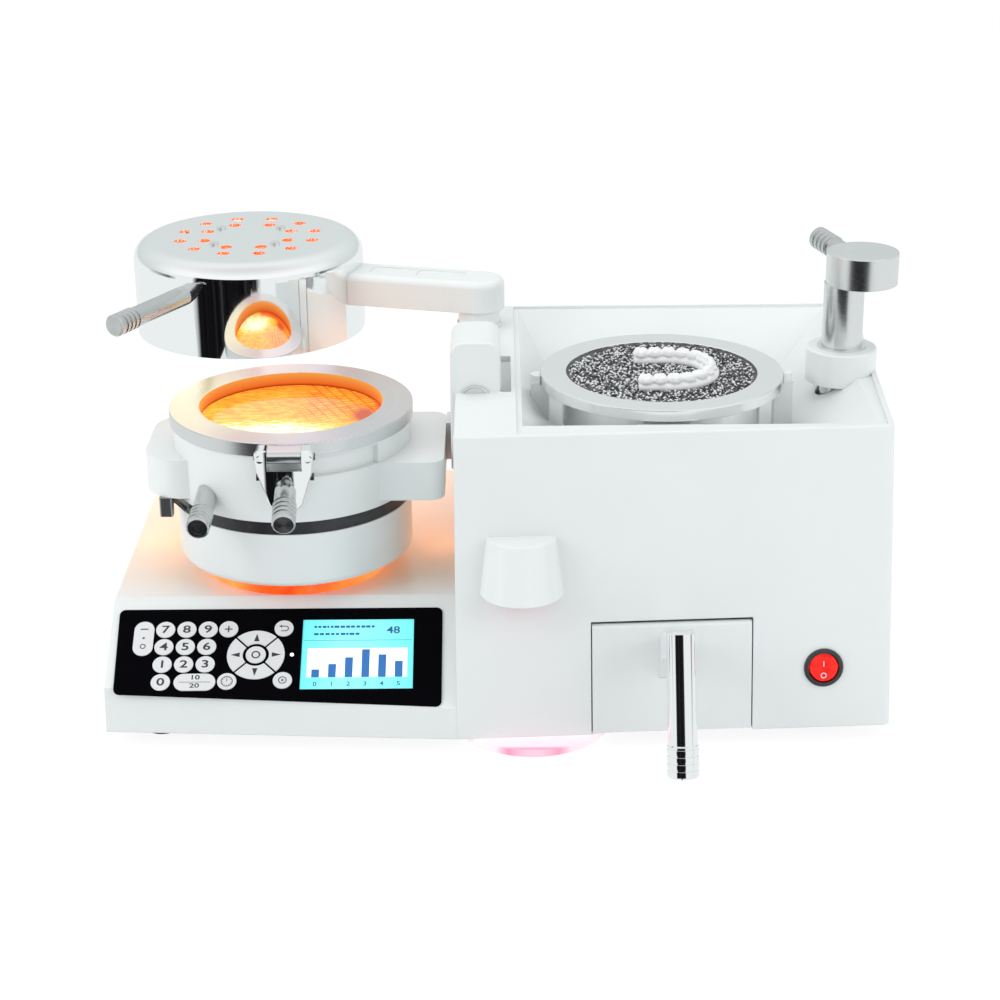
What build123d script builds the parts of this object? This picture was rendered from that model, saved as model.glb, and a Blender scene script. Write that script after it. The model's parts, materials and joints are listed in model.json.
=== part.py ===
"""Dental pressure former: a bench machine that heats a round plastic foil and presses it over a model.

A round pressure chamber on a swing arm holds the foil under a clamp ring. It turns half a turn about a
shaft and lands on the model cup, where a turning head on a steel column locks it. A heating lamp stands
on a post behind the shaft. All sizes are in millimetres, +Z is up and the table is Z = 0. The origin is
the middle of the whole machine's outline on the table.
"""
from build123d import *
from math import acos, asin, atan2, cos, degrees, hypot, pi, radians, sin, tan
import os

os.makedirs("parts", exist_ok=True)

# Heights of the machine
foot_height = 11.0
base_top = 76.0
rest_ring_height = 12.0
plane_drop = 10.0             # clamp ring's top lies this far below the shaft, and the cup's rim above it
housing_rise = 5.0            # the housing's top over the shaft's centre

# Reach of the swing arm, and the two round stations
chamber_reach = 121.8         # from the shaft to the middle of the chamber, and to the middle of the cup
foil_radius = 62.5            # a foil is a 125 mm disc
foil_thickness = 1.0

# Clamp ring and chamber
ring_radius = 80.0
ring_bore = 60.0
ring_thickness = 9.0
chamber_radius = 78.5
chamber_bore = 61.6
chamber_depth = 45.0
seal_radius = 76.8
seal_thickness = 9.0
dish_radius = 77.8
dish_height = 36.6
dish_floor = 4.4
dish_round = 4.0
rest_gap = 0.4
rest_ring_radius = 61.0
rest_ring_wall = 7.0
foil_clearance = 0.15

# Swing arm, lug and hub of the chamber casting
arm_thickness = 26.0
arm_drop = 34.0               # from the shaft's centre down to the arm's top
arm_front = 52.0
arm_back = 46.0
arm_root = 20.5               # from the shaft to the arm's end
arm_corner = 10.0
lug_length = 15.7             # of the lug past the chamber's wall
lug_half_width = 46.0
lug_corner = 26.0
hub_front = 22.5
hub_width = 23.0
hub_radius = 16.0
leg_right = 10.0
root_round = 6.0
bush_radius = 10.0
shaft_radius = 7.0
running_gap = 0.05
wear_plate_thickness = 1.5
wear_plate_inset = 3.0
catch_inset = 14.3
catch_edge = 5.0
catch_size = (8.6, 8.0)
catch_height = 13.0
band_depth = 3.5              # the step in the chamber's wall beside the lever
band_top = 2.0
band_from = -78.0
band_to = -41.0
catch_strip = 5.0

# Ring hinge at the back of the chamber
ring_hinge_y = 79.5
ring_hinge_drop = 5.0         # below the ring's underside
knuckle_radius = 4.0
knuckle_half = 7.5
ear_width = 8.0
ear_play = 0.2
hinge_pin_radius = 2.0

# Clamp lever at the front of the ring
lever_offset = 3.0
lever_pivot_y = 88.0
lever_pivot_drop = 5.5
lever_half_width = 19.0
lever_foot_half = 9.5
lever_length = 34.0
lever_depth = 10.8
lever_slot_half = 11.0
lever_slot_drop = 8.0
lever_groove_half = 5.5
lever_groove_depth = 3.0
lever_screw_radius = 2.6
tongue_half = 10.6
lever_pin_radius = 2.4
lever_head_radius = 5.6
lever_cross_pin_drop = 13.5
lever_cross_pin_half = 18.0

# Ribbed grip rods, alike on every handle
grip_radius = 7.5
grip_neck = 6.8               # the plain part between the ribs and the seat
grip_groove = 0.9
grip_rib_pitch = 4.4
grip_ribs = 4
grip_chamfer = 1.2
chamber_grip_offset = -50.4
chamber_grip_drop = 51.5
chamber_grip_length = 53.0
chamber_grip_start_y = 52.0
lever_grip_drop = 21.0
lever_grip_depth = 4.0
lever_grip_length = 38.0
lamp_grip_length = 78.0
lamp_grip_rise = 43.0
lamp_grip_bearing = 242.0
head_grip_length = 38.0
head_grip_bearing = 116.0
head_grip_inset = 15.0
pull_grip_radius = 9.8
pull_grip_neck = 9.1

# Housing on the right and console on the left
wall = 4.0
left_wall = 13.0              # from the shaft to the housing's left wall
right_wall = 261.0
right_draft = 4.0
right_flare = 0.05
back_y = 165.0
front_y = 140.0               # where the front meets the bottom, at the seam between the two
front_lean = 28.0             # how far the front leans back over the housing's height
right_sweep = 15.0 / 270.0    # both fronts sweep back from the seam
left_sweep = 14.0 / 223.0
console_left = 236.0
console_slope = 31.0
console_lip = 18.0
edge_round = 5.0
rim_round = 1.5
plate_thickness = 3.0
plate_clearance = 0.3
bridge_length = 150.0

# Control panel, measured up the slope from the console's lip
panel_thickness = 1.2
panel_left = -231.5
panel_right = -22.5
panel_top = 80.0
panel_low_right = 5.0
panel_low_left = 16.0
panel_corner = 4.0
key_thickness = 0.6
key_radius = 6.1
key_pitch_x = 13.7
key_pitch_y = 13.3
key_first = (-200.6, 63.9)
tall_key = (-214.2, 57.2)
tall_key_size = (12.8, 26.0)
wide_key = (-179.0, 23.9)
wide_key_size = (26.4, 12.6)
round_keys = [(-160.0, 64.0), (-158.6, 24.3), (-124.4, 64.3), (-123.4, 24.8)]
pad_centre = (-141.4, 44.2)
pad_radius = 18.4
pad_hole = 8.4
pad_gap = 1.3
enter_radius = 6.4
led_place = (-118.4, 44.3)
led_radius = 1.2
screen_centre = (-76.6, 44.9)
screen_size = (71.5, 53.2)
screen_thickness = 0.5

# Shaft cover and bearings
cap_half_width = 16.3
cap_front = 27.0
cap_back = 20.0
cap_rise = 38.0               # over the shaft's centre
cap_drop = 48.0
cap_round = 9.0
shaft_head_radius = 9.8
shaft_head = 3.0
slot_width = 6.0
hub_slot_drop = 63.0
bearing_front = 47.0
bearing_width = 15.0
bearing_half = 9.0
bearing_rise = 13.0

# Lamp
lamp_offset = 1.5
lamp_y = 119.5
post_radius = 14.5
post_flange_radius = 15.6
post_flange = 3.0
spindle_radius = 9.0
spindle_rise = 16.0
lamp_arm_rise = 40.0
lamp_arm_thickness = 22.0
lamp_arm_radius = 18.0
lamp_arm_gap = 0.3
lamp_arm_round = 5.0
hood_radius = 82.0
hood_height = 66.0
hood_gap = 2.5                # between the hood and the clamp ring when the lamp swings over it
hood_wall = 1.6
hood_round = 13.0
hood_lip = 3.0
stow_gap = 3.0                # between the stowed hood and the path of the swinging chamber
hood_hole_radius = 4.6
outer_holes = 12
outer_holes_circle = 48.5
inner_holes = 8
inner_holes_circle = 32.6
hood_screw_circle = 30.5
hood_screw_radius = 2.0
hood_screw_head = 3.4
carrier_drop = 16.0
carrier_length = 118.0
carrier_width = 10.0
carrier_thickness = 2.0
carrier_post_radius = 2.0
tube_gap = 0.1
hood_screw_rise = 1.2
tube_radius = 4.5
tube_circles = (52.0, 27.0)
tube_drop = 31.0
arm_plate_length = 34.0
arm_plate_width = 15.0
arm_plate_thickness = 0.6

# Locking column
column_reach = 242.0
column_y = 19.0
column_radius = 13.3
column_bush_radius = 15.9
column_bush_proud = 1.0
boss_radius = 23.3
boss_rise = 14.5              # over the housing's top
boss_drop = 8.0
head_radius = 23.5
head_offset = 11.0
head_thickness = 21.0
head_gap = 1.5                # over the lug before the lever pulls the head down
pull_travel = 1.2
spigot_radius = 8.0
spigot_length = 18.0
nut_radius = 12.0
nut_height = 8.0
yoke_thickness = 14.0
yoke_size = (34.0, 30.0)
yoke_bar = 8.0
yoke_play = 0.3
yoke_end_gap = 0.1
yoke_rise = 19.3              # from the crank's pin up to the yoke
yoke_foot_half = 6.0
yoke_foot_front = 4.6
yoke_foot_back = 14.0
pin_slide = 2.0
foot_gap = 1.0

# Pull lever at the front, measured in the plane of the housing's front
flap_left = 72.7
flap_right = 173.2
flap_height = 72.0
flap_thickness = 3.5
flap_gap = 0.8
flap_top_gap = 2.0
flap_bottom_gap = 1.0
flap_edge_round = 2.9
pull_angle = 30.0
pull_pivot_depth = 8.0
pull_pivot_up = 64.0
pull_shaft_radius = 3.0
pull_barrel_radius = 4.6
pull_barrel_length = 18.0
pull_arm_half = 8.0
pull_arm_foot = (36.0, 62.0)
pull_arm_end = (58.0, 80.5)
crank_x = 184.0
bracket_thickness = 5.0
bracket_depth = 14.0
crank_radius = 4.6
crank_pin_radius = 2.5
crank_thickness = 4.0
bracket_width = 16.0
rod_top = (39.0, 77.2)        # out from the face and up it
rod_bottom = (52.6, -10.7)

# Hopper, cup and model
hopper_left = 26.0
hopper_right = 250.0
hopper_front = 88.0
hopper_margin = 3.5
hopper_wall = 3.0
seat_height = 11.4
hopper_floor_half = 56.0
hopper_rim_drop = 1.5
seat_outer = 55.0
seat_inner = 44.0
cup_gap = 0.3
cup_rim_radius = 79.4
cup_bore = 62.5
cup_rim = 7.5
cup_wall = 2.5
cup_depth = 43.0
cup_floor = 3.0
cup_foot_round = 14.0
ear_radius = 6.0
ear_rise = 3.0                # over the housing's top
ear_clearance = 0.4
pellet_drop = 2.0
pellet_gap = 0.1
arch_rise = 8.0
arch_radius = 27.5
arch_width = 11.5
arch_leg = 21.0
arch_offset = (4.2, -4.0)
gum_height = 5.0
tooth_count = 14
tooth_gap = 0.5
tooth_taper = 2.0
molar_drop = 1.2
tab_half = 20.0
tab_foot_half = 26.0
tab_drop = 5.0
tab_front = 86.0
tab_depth = 9.0

# Scanner and power switch on the housing's front
nose_centre = 29.2
nose_drop = 62.5              # from the housing's top down to the nose
nose_height = 35.5
nose_top_half = 21.6
nose_bottom_half = 26.2
nose_top_depth = 19.0
nose_bottom_depth = 25.0
window_size = (30.0, 12.0)
window_thickness = 1.2
scan_plate_radius = 50.0
scan_plate_reach = 18.5
scan_plate_thickness = 5.0
scan_plate_x = 35.0
switch_x = 218.8
switch_height = 50.1
bezel_radius = 12.5
bezel_bore = 9.8
bezel_barrel = 10.8
bezel_proud = 1.8
bezel_depth = 16.0
rocker_radius = 8.8
rocker_front = 1.2
rocker_back = -6.0
rocker_pivot_depth = 2.5
rocker_tilt = 6.0
rocker_pin_radius = 1.2

# Inlets on the back
mains_x = 214.0
mains_size = (27.4, 20.4)
air_x = 160.0
inlet_height = 44.0
nipple_hole = 6.5
nipple_radius = 4.0
nipple_bore = 2.5
nipple_length = 14.0

# Places worked out from the sizes above
dish_bottom = base_top + rest_ring_height + rest_gap
seal_bottom = dish_bottom + dish_height
body_bottom = seal_bottom + seal_thickness
body_top = body_bottom + chamber_depth
ring_z = body_top + ring_thickness
hinge_height = ring_z + plane_drop
housing_top = hinge_height + housing_rise
cap_top = hinge_height + cap_rise
cap_bottom = hinge_height - cap_drop
hub_slot_floor = hinge_height - hub_slot_drop
lamp_arm_top = hinge_height + lamp_arm_rise
boss_top = housing_top + boss_rise
boss_bottom = housing_top - boss_drop
nose_top = housing_top - nose_drop
nose_bottom = nose_top - nose_height
cup_z = hinge_height + plane_drop - cup_gap
cup_bottom = cup_z - cup_depth - cup_floor
hopper_floor = cup_bottom - cup_gap - seat_height
lug_reach = chamber_reach + chamber_radius + lug_length
arm_top = hinge_height - arm_drop
arm_bottom = arm_top - arm_thickness
arm_length = hypot(chamber_reach + lamp_offset, lamp_y)
stow_y = ring_radius + hood_radius + stow_gap
stow_angle = pi - asin((stow_y - lamp_y) / arm_length)
hood_bottom = ring_z + hood_gap
hood_top = hood_bottom + hood_height
head_bottom = 2 * hinge_height - arm_bottom + wear_plate_thickness + head_gap
head_top = head_bottom + head_thickness

# The hood's and the grips' ends set the outline of the whole machine, and so the origin
grip_bearing = radians(lamp_grip_bearing)
left_end = lamp_offset + arm_length * cos(stow_angle) + min(
    -hood_radius,
    (hood_radius + lamp_grip_length) * cos(grip_bearing) - grip_radius * abs(sin(grip_bearing)),
)
flap_middle = (flap_left + flap_right) / 2
right_end = column_reach + head_offset + head_radius
back_end = stow_y + hood_radius
face_tilt = atan2(front_lean, housing_top - foot_height)
rod_lean = atan2(rod_bottom[0] - rod_top[0], rod_top[1] - rod_bottom[1])


front_scale = hypot(1, right_sweep)
front_along = Vector(1, right_sweep, 0).normalized()
front_normal = Vector(cos(face_tilt) * right_sweep, -cos(face_tilt), sin(face_tilt)).normalized()
front_upward = front_normal.cross(front_along)


def front_point(x, up, out):
    """A point of the housing's front, from its X beside the shaft, its way up the face and out of it."""
    along = (x + left_wall) * front_scale
    return (
        Vector(-left_wall, -front_y, foot_height)
        + front_along * along + front_upward * up + front_normal * out
    )


rod_tip = front_point(flap_middle, rod_bottom[1], rod_bottom[0])
front_end = rod_tip.Y - pull_grip_radius * cos(rod_lean + face_tilt)
hinge_x = -(left_end + right_end) / 2
mid_y = -(front_end + back_end) / 2
chamber_x = hinge_x - chamber_reach
cup_x = hinge_x + chamber_reach
lamp_x = hinge_x + lamp_offset
lamp_post_y = mid_y + lamp_y
column_x = hinge_x + column_reach
column_post_y = mid_y + column_y
hood_x = lamp_x + arm_length * cos(stow_angle)
hood_y = lamp_post_y + arm_length * sin(stow_angle)
seam_x = hinge_x - left_wall
ring_hinge_z = body_top - ring_hinge_drop
lever_x = chamber_x + lever_offset
lever_z = ring_z - lever_pivot_drop

ear_middle = knuckle_half + ear_play + ear_width / 2

flap_run = (flap_right - flap_left) * front_scale
switch_up = (switch_height - foot_height) / front_upward.Z

# Planes of the two fronts, the console's slope and the right wall; each one's Z points out
housing_front = Plane(
    origin=(seam_x, mid_y - front_y, foot_height),
    x_dir=front_along,
    z_dir=front_normal,
)
console_front = Plane(
    origin=(seam_x, mid_y - front_y, foot_height),
    x_dir=(1, -left_sweep, 0),
    z_dir=(-cos(face_tilt) * left_sweep, -cos(face_tilt), sin(face_tilt)),
)
slope_angle = radians(console_slope)
console_face = Plane(
    origin=(hinge_x, mid_y - front_y, foot_height + console_lip),
    x_dir=(1, 0, 0),
    z_dir=(0, -sin(slope_angle), cos(slope_angle)),
)
housing_side = Plane(
    origin=(hinge_x + right_wall, mid_y - front_y, foot_height),
    x_dir=(right_flare, 1, 0),
    z_dir=(1, -right_flare, right_draft / (housing_top - foot_height)),
)

# Where the grips start and which way they point
chamber_grip_start = (chamber_x + chamber_grip_offset, mid_y - chamber_grip_start_y,
                      hinge_height - chamber_grip_drop)
chamber_grip_aim = Vector(-0.02, -0.993, -0.10).normalized()
lever_grip_aim = Vector(0.04, -0.968, -0.25).normalized()
lever_grip_start = (
    lever_x, mid_y - lever_pivot_y - lever_depth / 2 + lever_grip_depth, lever_z - lever_grip_drop,
)
lever_grip_seat = Plane(origin=lever_grip_start, z_dir=lever_grip_aim)
lamp_grip_aim = Vector(cos(grip_bearing), sin(grip_bearing), 0)
lamp_grip_start = Vector(hood_x, hood_y, hood_bottom + lamp_grip_rise) + lamp_grip_aim * hood_radius
lamp_grip_seat = Plane(origin=lamp_grip_start - lamp_grip_aim * 8, z_dir=lamp_grip_aim)
head_grip_aim = Vector(
    cos(radians(head_grip_bearing)), sin(radians(head_grip_bearing)), 0.12,
).normalized()
head_grip_start = Vector(
    column_x + head_offset, column_post_y, head_bottom + head_thickness / 2 + 1,
) + head_grip_aim * head_grip_inset
head_grip_seat = Plane(origin=head_grip_start, z_dir=head_grip_aim)


def front_vector(x, up, out):
    """The same point of the front as front_point gives, in the part's own frame."""
    return front_point(x, up, out) + Vector(hinge_x, mid_y, 0)


crank_throw = pull_travel / sin(radians(pull_angle))
foot_reach = crank_x + crank_thickness + foot_gap + yoke_bar / 2
pin_spot = front_vector(foot_reach, pull_pivot_up, -pull_pivot_depth) - front_normal * crank_throw
yoke_bottom = pin_spot.Z + yoke_rise
column_bottom = yoke_bottom - nut_height - yoke_end_gap
rod_start = front_vector(flap_middle, rod_top[1], rod_top[0])
rod_end = front_vector(flap_middle, rod_bottom[1], rod_bottom[0])
rod_aim = (rod_end - rod_start).normalized()
rod_length = (rod_end - rod_start).length
rod_plane = Plane(origin=rod_start, z_dir=rod_aim)
rod_side = Plane(origin=rod_start, z_dir=rod_aim.cross(front_along))


def upright(x, y):
    """The XZ plane through a vertical axis, for profiles that are turned about it."""
    return Plane(origin=(x, y, 0), x_dir=(1, 0, 0), z_dir=(0, -1, 0))


def side_plane(x):
    """The YZ plane at one X, with sketch X along +Y and sketch Y up."""
    return Plane(origin=(x, 0, 0), x_dir=(0, 1, 0), z_dir=(1, 0, 0))


def trimmed_block(left, right, back, bottom, top, cuts):
    """A block that reaches past the front and is trimmed by planes that face outwards."""
    depth = back + front_y + front_lean
    with BuildPart() as block:
        with BuildSketch(Plane.XY.offset(bottom)):
            with Locations(((left + right) / 2, mid_y + back - depth / 2)):
                Rectangle(right - left, depth)
        extrude(amount=top - bottom)
        for cut in cuts:
            split(bisect_by=cut, keep=Keep.BOTTOM)
    return block.part


def grip_rod(start, direction, length, radius, neck, plain_end=0.0):
    """A round steel grip, plain at its seat and ribbed near its free end, from start along direction."""
    aim = Vector(*direction).normalized()
    side = Vector(0, 0, 1) if abs(aim.Z) < 0.9 else Vector(0, 1, 0)
    plane = Plane(origin=start, x_dir=aim, z_dir=aim.cross(side))
    first = length - grip_chamfer - grip_ribs * grip_rib_pitch
    outline = [(-plain_end, 0), (-plain_end, neck), (first - 2 * grip_groove, neck)]
    for rib in range(grip_ribs):
        groove = first + rib * grip_rib_pitch
        outline += [
            (groove - grip_groove, radius),
            (groove - grip_groove / 2, radius - grip_groove),
            (groove + grip_groove / 2, radius - grip_groove),
            (groove + grip_groove, radius),
        ]
    outline += [(length - grip_chamfer, radius), (length, radius - grip_chamfer), (length, 0)]
    with BuildPart() as rod:
        with BuildSketch(plane):
            with BuildLine():
                Polyline(*outline, close=True)
            make_face()
        revolve(axis=Axis(start, tuple(aim)))
    return rod.part


# Bottom plate, feet and scan plate
inset = wall + plate_clearance
console_plate = trimmed_block(
    hinge_x - console_left + inset, seam_x - inset, back_y - inset, foot_height,
    foot_height + plate_thickness, [console_front.offset(-inset)],
)
housing_plate = trimmed_block(
    seam_x + inset, hinge_x + right_wall + 40, back_y - inset, foot_height,
    foot_height + plate_thickness, [housing_front.offset(-inset), housing_side.offset(-inset)],
)
with BuildPart() as base_plate:
    add(console_plate)
    add(housing_plate)
    with BuildSketch(Plane.XY.offset(foot_height)):
        with Locations((seam_x, mid_y + 20)):
            Rectangle(4 * wall, bridge_length)
    extrude(amount=plate_thickness)
base_plate.part.label = "base_plate"
export_step(base_plate.part, "parts/base_plate.step")

foot_places = {
    "foot_front_left": (hinge_x - console_left + 32, mid_y - front_y + 42),
    "foot_front_right": (hinge_x + right_wall - 32, mid_y - front_y + 46),
    "foot_back_left": (hinge_x - console_left + 32, mid_y + back_y - 30),
    "foot_back_right": (hinge_x + right_wall - 32, mid_y + back_y - 30),
}
for name, place in foot_places.items():
    with BuildPart() as foot:
        with BuildSketch(Plane.XY):
            with Locations(place):
                Circle(12.0)
        extrude(amount=foot_height, taper=-8)
        fillet(foot.edges().group_by(Axis.Z)[0], 1.5)
    foot.part.label = name
    export_step(foot.part, f"parts/{name}.step")

# Console shell with its sloping face
console_block = trimmed_block(
    hinge_x - console_left, seam_x, back_y, foot_height, base_top, [console_front, console_face],
)
console_space = trimmed_block(
    hinge_x - console_left + wall, seam_x - wall, back_y - wall, foot_height, base_top - wall,
    [console_front.offset(-wall), console_face.offset(-wall)],
)
with BuildPart() as console_shell:
    add(console_block)
    fillet(console_shell.edges().filter_by(Axis.Z).group_by(Axis.X)[0], edge_round)
    fillet(console_shell.edges().group_by(Axis.Z)[-1].sort_by(Axis.X)[0], rim_round)
    add(console_space, mode=Mode.SUBTRACT)
    with BuildSketch(Plane.XY.offset(foot_height)):
        with Locations((seam_x, mid_y + 20)):
            Rectangle(4 * wall, bridge_length)
    extrude(amount=plate_thickness, mode=Mode.SUBTRACT)
    with BuildSketch(console_face):
        with Locations(screen_centre):
            Rectangle(screen_size[0] - 6, screen_size[1] - 6)
    extrude(amount=-3 * wall, mode=Mode.SUBTRACT)
console_shell.part.label = "console_shell"
export_step(console_shell.part, "parts/console_shell.step")

with BuildPart() as control_panel:
    with BuildSketch(console_face):
        with BuildLine():
            FilletPolyline(
                (panel_left, panel_top), (panel_right, panel_top), (panel_right, panel_low_right),
                (panel_left + 1.5, panel_low_left), radius=panel_corner, close=True,
            )
        make_face()
        with Locations(screen_centre):
            Rectangle(*screen_size, mode=Mode.SUBTRACT)
        with Locations(led_place):
            Circle(led_radius, mode=Mode.SUBTRACT)
    extrude(amount=panel_thickness)
control_panel.part.label = "control_panel"
export_step(control_panel.part, "parts/control_panel.step")

key_face = console_face.offset(panel_thickness)
with BuildPart() as number_keys:
    with BuildSketch(key_face):
        rows = [(column, row) for row in range(3) for column in range(3)] + [(0, 3)]
        for column, row in rows:
            with Locations((key_first[0] + column * key_pitch_x, key_first[1] - row * key_pitch_y)):
                Circle(key_radius)
    extrude(amount=key_thickness)
number_keys.part.label = "number_keys"
export_step(number_keys.part, "parts/number_keys.step")

with BuildPart() as function_keys:
    with BuildSketch(key_face):
        with Locations(tall_key):
            RectangleRounded(*tall_key_size, tall_key_size[0] / 2 - 0.01)
        with Locations(wide_key):
            RectangleRounded(*wide_key_size, wide_key_size[1] / 2 - 0.01)
        with Locations(*round_keys):
            Circle(key_radius)
    extrude(amount=key_thickness)
function_keys.part.label = "function_keys"
export_step(function_keys.part, "parts/function_keys.step")

with BuildPart() as direction_keys:
    with BuildSketch(key_face):
        with Locations(pad_centre):
            Circle(pad_radius)
            Circle(pad_hole, mode=Mode.SUBTRACT)
            Rectangle(3 * pad_radius, pad_gap, rotation=45, mode=Mode.SUBTRACT)
            Rectangle(3 * pad_radius, pad_gap, rotation=135, mode=Mode.SUBTRACT)
    extrude(amount=key_thickness)
direction_keys.part.label = "direction_keys"
export_step(direction_keys.part, "parts/direction_keys.step")

with BuildPart() as enter_key:
    with BuildSketch(key_face):
        with Locations(pad_centre):
            Circle(enter_radius)
    extrude(amount=key_thickness)
enter_key.part.label = "enter_key"
export_step(enter_key.part, "parts/enter_key.step")

with BuildPart() as display_screen:
    with BuildSketch(console_face):
        with Locations(screen_centre):
            Rectangle(screen_size[0], screen_size[1])
    extrude(amount=screen_thickness)
display_screen.part.label = "display_screen"
export_step(display_screen.part, "parts/display_screen.step")

with BuildPart() as status_led:
    with BuildSketch(console_face):
        with Locations(led_place):
            Circle(led_radius)
    extrude(amount=panel_thickness + 0.3)
status_led.part.label = "status_led"
export_step(status_led.part, "parts/status_led.step")

# Housing shell: a tall box with its front leaning back, open above the hopper
slot_right = cap_half_width + slot_width + 0.7
housing_right = hinge_x + right_wall + 40
housing_block = trimmed_block(
    seam_x, housing_right, back_y, foot_height, housing_top, [housing_front, housing_side],
)
housing_space = trimmed_block(
    seam_x + wall, housing_right, back_y - wall, foot_height, housing_top - wall,
    [housing_front.offset(-wall), housing_side.offset(-wall)],
)
hopper_mouth = trimmed_block(
    hinge_x + hopper_left, housing_right, back_y - wall, housing_top - 2 * wall, housing_top + 1,
    [housing_front.offset(-wall), housing_side.offset(-wall)],
)
with BuildPart() as housing_shell:
    add(housing_block)
    upright_edges = housing_shell.edges().filter_by(lambda e: abs((e @ 0 - e @ 1).Z) > 100)
    fillet(upright_edges.sort_by(Axis.X)[2:], edge_round)
    fillet(housing_shell.edges().group_by(Axis.Z)[-1], rim_round)
    add(housing_space, mode=Mode.SUBTRACT)
    add(hopper_mouth, mode=Mode.SUBTRACT)
    with BuildSketch(Plane.XY.offset(foot_height)):
        with Locations((seam_x, mid_y + 20)):
            Rectangle(4 * wall, bridge_length)
    extrude(amount=plate_thickness, mode=Mode.SUBTRACT)
    with BuildSketch(Plane.XY.offset(boss_bottom)):
        with Locations((column_x, column_post_y)):
            Circle(boss_radius)
    extrude(amount=boss_top - boss_bottom, mode=Mode.SUBTRACT)
    with BuildSketch(Plane.XY.offset(cap_bottom)):
        with Locations((seam_x - 1, mid_y - cap_front)):
            Rectangle(hinge_x + cap_half_width - seam_x + 1, cap_front + cap_back,
                      align=(Align.MIN, Align.MIN))
        with Locations((hinge_x + cap_half_width, mid_y - cap_front)):
            Rectangle(slot_right - cap_half_width, cap_front + cap_back, align=(Align.MIN, Align.MIN))
        with Locations((hinge_x, mid_y + bearing_front + bearing_width / 2)):
            Rectangle(2 * bearing_half, bearing_width)
    extrude(amount=housing_top - cap_bottom + 1, mode=Mode.SUBTRACT)
    with BuildSketch(Plane.XY.offset(hub_slot_floor)):
        with Locations((seam_x - 1, mid_y + cap_back)):
            Rectangle(hinge_x + slot_right - seam_x + 1, bearing_front - cap_back,
                      align=(Align.MIN, Align.MIN))
    extrude(amount=housing_top - hub_slot_floor + 1, mode=Mode.SUBTRACT)
    with BuildSketch(Plane.XZ.offset(cap_front - mid_y)):
        with Locations((hinge_x, hinge_height)):
            Circle(shaft_head_radius)
    extrude(amount=shaft_head, mode=Mode.SUBTRACT)
    with BuildSketch(housing_front):
        with Locations(((flap_left + left_wall) * front_scale - flap_gap, -1)):
            Rectangle(flap_run + 2 * flap_gap, flap_height + flap_top_gap + 1,
                      align=(Align.MIN, Align.MIN))
        with Locations(((switch_x + left_wall) * front_scale, switch_up)):
            Circle(bezel_barrel)
    extrude(amount=-2 * wall, mode=Mode.SUBTRACT)
    with BuildSketch(Plane.XZ.offset(-mid_y - back_y)):
        with Locations((hinge_x + 60, 70)):
            with GridLocations(0, 9, 1, 7):
                SlotOverall(60, 4)
        with Locations((hinge_x + mains_x, inlet_height)):
            Rectangle(*mains_size)
        with Locations((hinge_x + air_x, inlet_height)):
            Circle(nipple_hole)
    extrude(amount=2 * wall, mode=Mode.SUBTRACT)
housing_shell.part.label = "housing_shell"
export_step(housing_shell.part, "parts/housing_shell.step")

# Scanner nose: a half round that widens downwards, with its window underneath

def nose_plane(height):
    """A level plane whose origin lies on the housing's front at the nose, turned along the front."""
    up = (height - foot_height) / front_upward.Z
    return Plane(
        origin=front_point(nose_centre, up, 0) + Vector(hinge_x, mid_y, 0),
        x_dir=front_along, z_dir=(0, 0, 1),
    )


with BuildPart() as scanner_nose:
    for height, half, depth in (
        (nose_top, nose_top_half, nose_top_depth),
        (nose_bottom, nose_bottom_half, nose_bottom_depth),
    ):
        with BuildSketch(nose_plane(height)):
            with BuildLine():
                ThreePointArc((-half, 0), (0, -depth), (half, 0))
                Line((half, 0), (half, wall))
                Line((half, wall), (-half, wall))
                Line((-half, wall), (-half, 0))
            make_face()
    loft(ruled=True)
    split(bisect_by=housing_front, keep=Keep.TOP)
    fillet(scanner_nose.edges().group_by(Axis.Z)[-1].filter_by(GeomType.CIRCLE), 1.5)
scanner_nose.part.label = "scanner_nose"
export_step(scanner_nose.part, "parts/scanner_nose.step")

with BuildPart() as scan_window:
    with BuildSketch(nose_plane(nose_bottom)):
        with Locations((0, -nose_bottom_depth / 2)):
            RectangleRounded(*window_size, 2)
    extrude(amount=-window_thickness)
scan_window.part.label = "scan_window"
export_step(scan_window.part, "parts/scan_window.step")

with BuildPart() as scan_plate:
    front_there = front_point(scan_plate_x, 0, 0).Y
    with BuildSketch(Plane.XY.offset(foot_height - scan_plate_thickness)):
        with Locations((hinge_x + scan_plate_x, mid_y + front_there - scan_plate_reach + scan_plate_radius)):
            Circle(scan_plate_radius)
    extrude(amount=scan_plate_thickness)
    fillet(scan_plate.edges().group_by(Axis.Z)[0], 1.5)
scan_plate.part.label = "scan_plate"
export_step(scan_plate.part, "parts/scan_plate.step")

# Cover over the swing shaft, the shaft and its rear bearing
with BuildPart() as hinge_cover:
    with BuildSketch(Plane.XZ.offset(-mid_y - cap_back)):
        with Locations((hinge_x, cap_bottom)):
            Rectangle(2 * cap_half_width, cap_top - cap_bottom, align=(Align.CENTER, Align.MIN))
    extrude(amount=cap_front + cap_back)
    fillet(
        hinge_cover.faces().sort_by(Axis.Z)[-1].edges().filter_by(Axis.Y), cap_round,
    )
    fillet(hinge_cover.faces().sort_by(Axis.Y)[0].edges().group_by(Axis.Z)[-1], 1.2)
    with BuildSketch(Plane.XZ.offset(-mid_y - cap_back)):
        with Locations((hinge_x, hinge_height)):
            Circle(shaft_radius)
    extrude(amount=cap_front + cap_back, mode=Mode.SUBTRACT)
hinge_cover.part.label = "hinge_cover"
export_step(hinge_cover.part, "parts/hinge_cover.step")

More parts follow.
